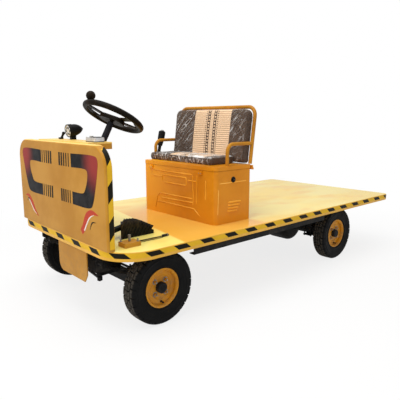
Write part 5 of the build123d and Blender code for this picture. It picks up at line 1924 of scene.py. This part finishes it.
@dataclass
class Studio:
    """Pale floor, soft light and the camera.

    Args:
        eye: place of the camera.
        heading: direction that it looks in, in degrees from straight back towards the right.
        pitch: how far it looks down, in degrees.
        lens: its focal length in millimetres, on a sensor 36 mm wide.
        sky_light: strength of the light from all round.
        lamps: the area lights.
    """

    eye: Place = (2.4439, 2.4062, 1.1199)
    heading: float = 48.008
    pitch: float = 10.402
    lens: float = 39.573
    sky_light: float = 0.62
    lamps: tuple[Lamp, ...] = (
        Lamp("key", (1.9, 0.4, 4.2), (0.5, 0.1, 0.5), (3.4, 3.0), 98),
        Lamp("front", (5.0, 0.8, 2.4), (0.6, 0, 0.6), (2.4, 2.4), 40, (1.0, 0.98, 0.95)),
        Lamp("overhead", (-0.2, 0.1, 4.0), (-0.2, 0.1, 0.5), (3.2, 1.6), 22),
    )

    def build(self) -> None:
        """Make the set."""
        bpy.context.scene.view_settings.view_transform = "Standard"
        self.floor()
        self.sky()
        for lamp in self.lamps:
            lamp.build()
        self.camera()

    def camera(self) -> None:
        """The camera of the photograph."""
        camera = bpy.data.cameras.new("camera")
        camera.sensor_width, camera.sensor_fit, camera.lens = 36.0, "HORIZONTAL", self.lens
        item = bpy.data.objects.new("camera", camera)
        heading, pitch = math.radians(self.heading), math.radians(self.pitch)
        level = math.cos(pitch)
        ahead = Vector((-math.cos(heading) * level, -math.sin(heading) * level, -math.sin(pitch)))
        item.location = self.eye
        item.rotation_euler = ahead.to_track_quat("-Z", "Y").to_euler()
        bpy.context.scene.collection.objects.link(item)
        bpy.context.scene.camera = item

    def floor(self, size: float = 40.0) -> None:
        """Pale floor that keeps the truck's shadow and shows white far off.

        Args:
            size: half the length of its sides.
        """
        mesh = bpy.data.meshes.new("floor")
        corners = [(-size, -size, 0), (size, -size, 0), (size, size, 0), (-size, size, 0)]
        mesh.from_pydata(corners, [], [(0, 1, 2, 3)])
        floor = bpy.data.objects.new("floor", mesh)
        bpy.context.scene.collection.objects.link(floor)
        g = Graph("floor_paint")
        g.surface(Base_Color=(0.90, 0.90, 0.90), Roughness=0.85, Specular_IOR_Level=0.1)
        shown, strength = g.seen()
        glow = g.add("Emission", {"Color": (1.0, 1.0, 1.0), "Strength": strength}).outputs[0]
        away = g.add("VectorMath", {0: g.place}, operation="LENGTH").outputs["Value"]
        share = g.product(shown, g.between(away, 1.2, 3.2, 0.80, 1.0))
        both = g.add("MixShader", {0: share, 1: g.shader.outputs[0], 2: glow}).outputs[0]
        g.feed(g.output, {"Surface": both})
        mesh.materials.append(g.material)

    def sky(self) -> None:
        """White to the eye and in reflections, and a soft grey light."""
        world = bpy.data.worlds.new("sky")
        bpy.context.scene.world = world
        world.use_nodes = True
        g = Nodes(world.node_tree)
        shown, strength = g.seen()
        light = g.add("Background", {"Color": (1.0, 1.0, 1.0), "Strength": self.sky_light}).outputs[0]
        white = g.add("Background", {"Color": (1.0, 1.0, 1.0), "Strength": strength}).outputs[0]
        both = g.add("MixShader", {0: shown, 1: light, 2: white}).outputs[0]
        g.add("OutputWorld", {"Surface": both})


WHEELS = (
    ("front_left", 1.0636, 1),
    ("front_right", 1.0636, -1),
    ("rear_left", -0.6998, 1),
    ("rear_right", -0.6998, -1),
)
CAD_FINISHES = {
    "deck": "deck",
    "body": "cowl apron dash",
    "pin": "parking_pedal",
    "box": "seat_box seat_lid box_latches box_hinges",
    "frame": "seat_frame",
    "chassis": "chassis_rails cross_members spring_hangers front_axle rear_axle pitman_arm"
    " knuckle_left knuckle_right",
    "spring": "front_springs rear_springs tie_rod drag_link steering_shaft",
    "casting": "steering_box",
    "motor": "drive_motor",
    "column": "steering_column",
    "wheel": "steering_wheel",
    "silver": "instrument_panel",
    "plastic": "headlamp direction_switch",
    "rubber": "foot_pedal",
    "grip": "hand_brake",
    "battery": "battery_pack",
    "rim": " ".join(f"rim_{name}" for name, _, _ in WHEELS),
    "hub": " ".join(f"hub_{name}" for name, _, _ in WHEELS),
}
PANEL = (-0.034, 0.326)
CUSHIONS = (
    Cushion(
        Part.SEAT, (0.433, 0.065, 0.8555), (0.329, 0.108, 0.0230), 0.0, (0.012, 0.014),
        SeatCloth("seat_cloth", PANEL, 0, (0.250, 0.530)),
        WrapFilm(
            "seat_film", (((9, 46, 14), (0, 0, -32), 0.75), ((14, 90, 22), (0, 0, 28), 0.65)),
            (-0.258, 0.386), (2.0, 2.1), 0.9,
        ),
    ),
    Cushion(
        Part.BACK, (0.2716, 0.100, 1.0112), (0.3680, 0.1780, 0.0295), 82.9, (0.044, 0.014),
        SeatCloth("back_cloth", PANEL, 2, (0.800, 1.230)),
        WrapFilm(
            "backrest_film", (((2, 5, 34), (-40, 0, 0), 0.42), ((2, 8, 62), (-52, 0, 0), 0.30)),
            (-0.256, 0.456), (-0.036, 0.328),
        ),
    ),
)


def main() -> None:
    """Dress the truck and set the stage."""
    logging.basicConfig(level=logging.INFO, format="%(name)s %(message)s")
    finishes = Finishes.all()
    repaint(finishes, CAD_FINISHES)
    DeckEdge().build(finishes)
    CowlTrim().build(finishes)
    for name, axle, side in WHEELS:
        Wheel(name, axle, side).build(finishes)
    Dashboard().build(finishes)
    Treadle().build(finishes)
    SeatBoxTrim().build(finishes)
    for cushion in CUSHIONS:
        cushion.build()
    Studio().build()


if __name__ == "__main__":
    main()
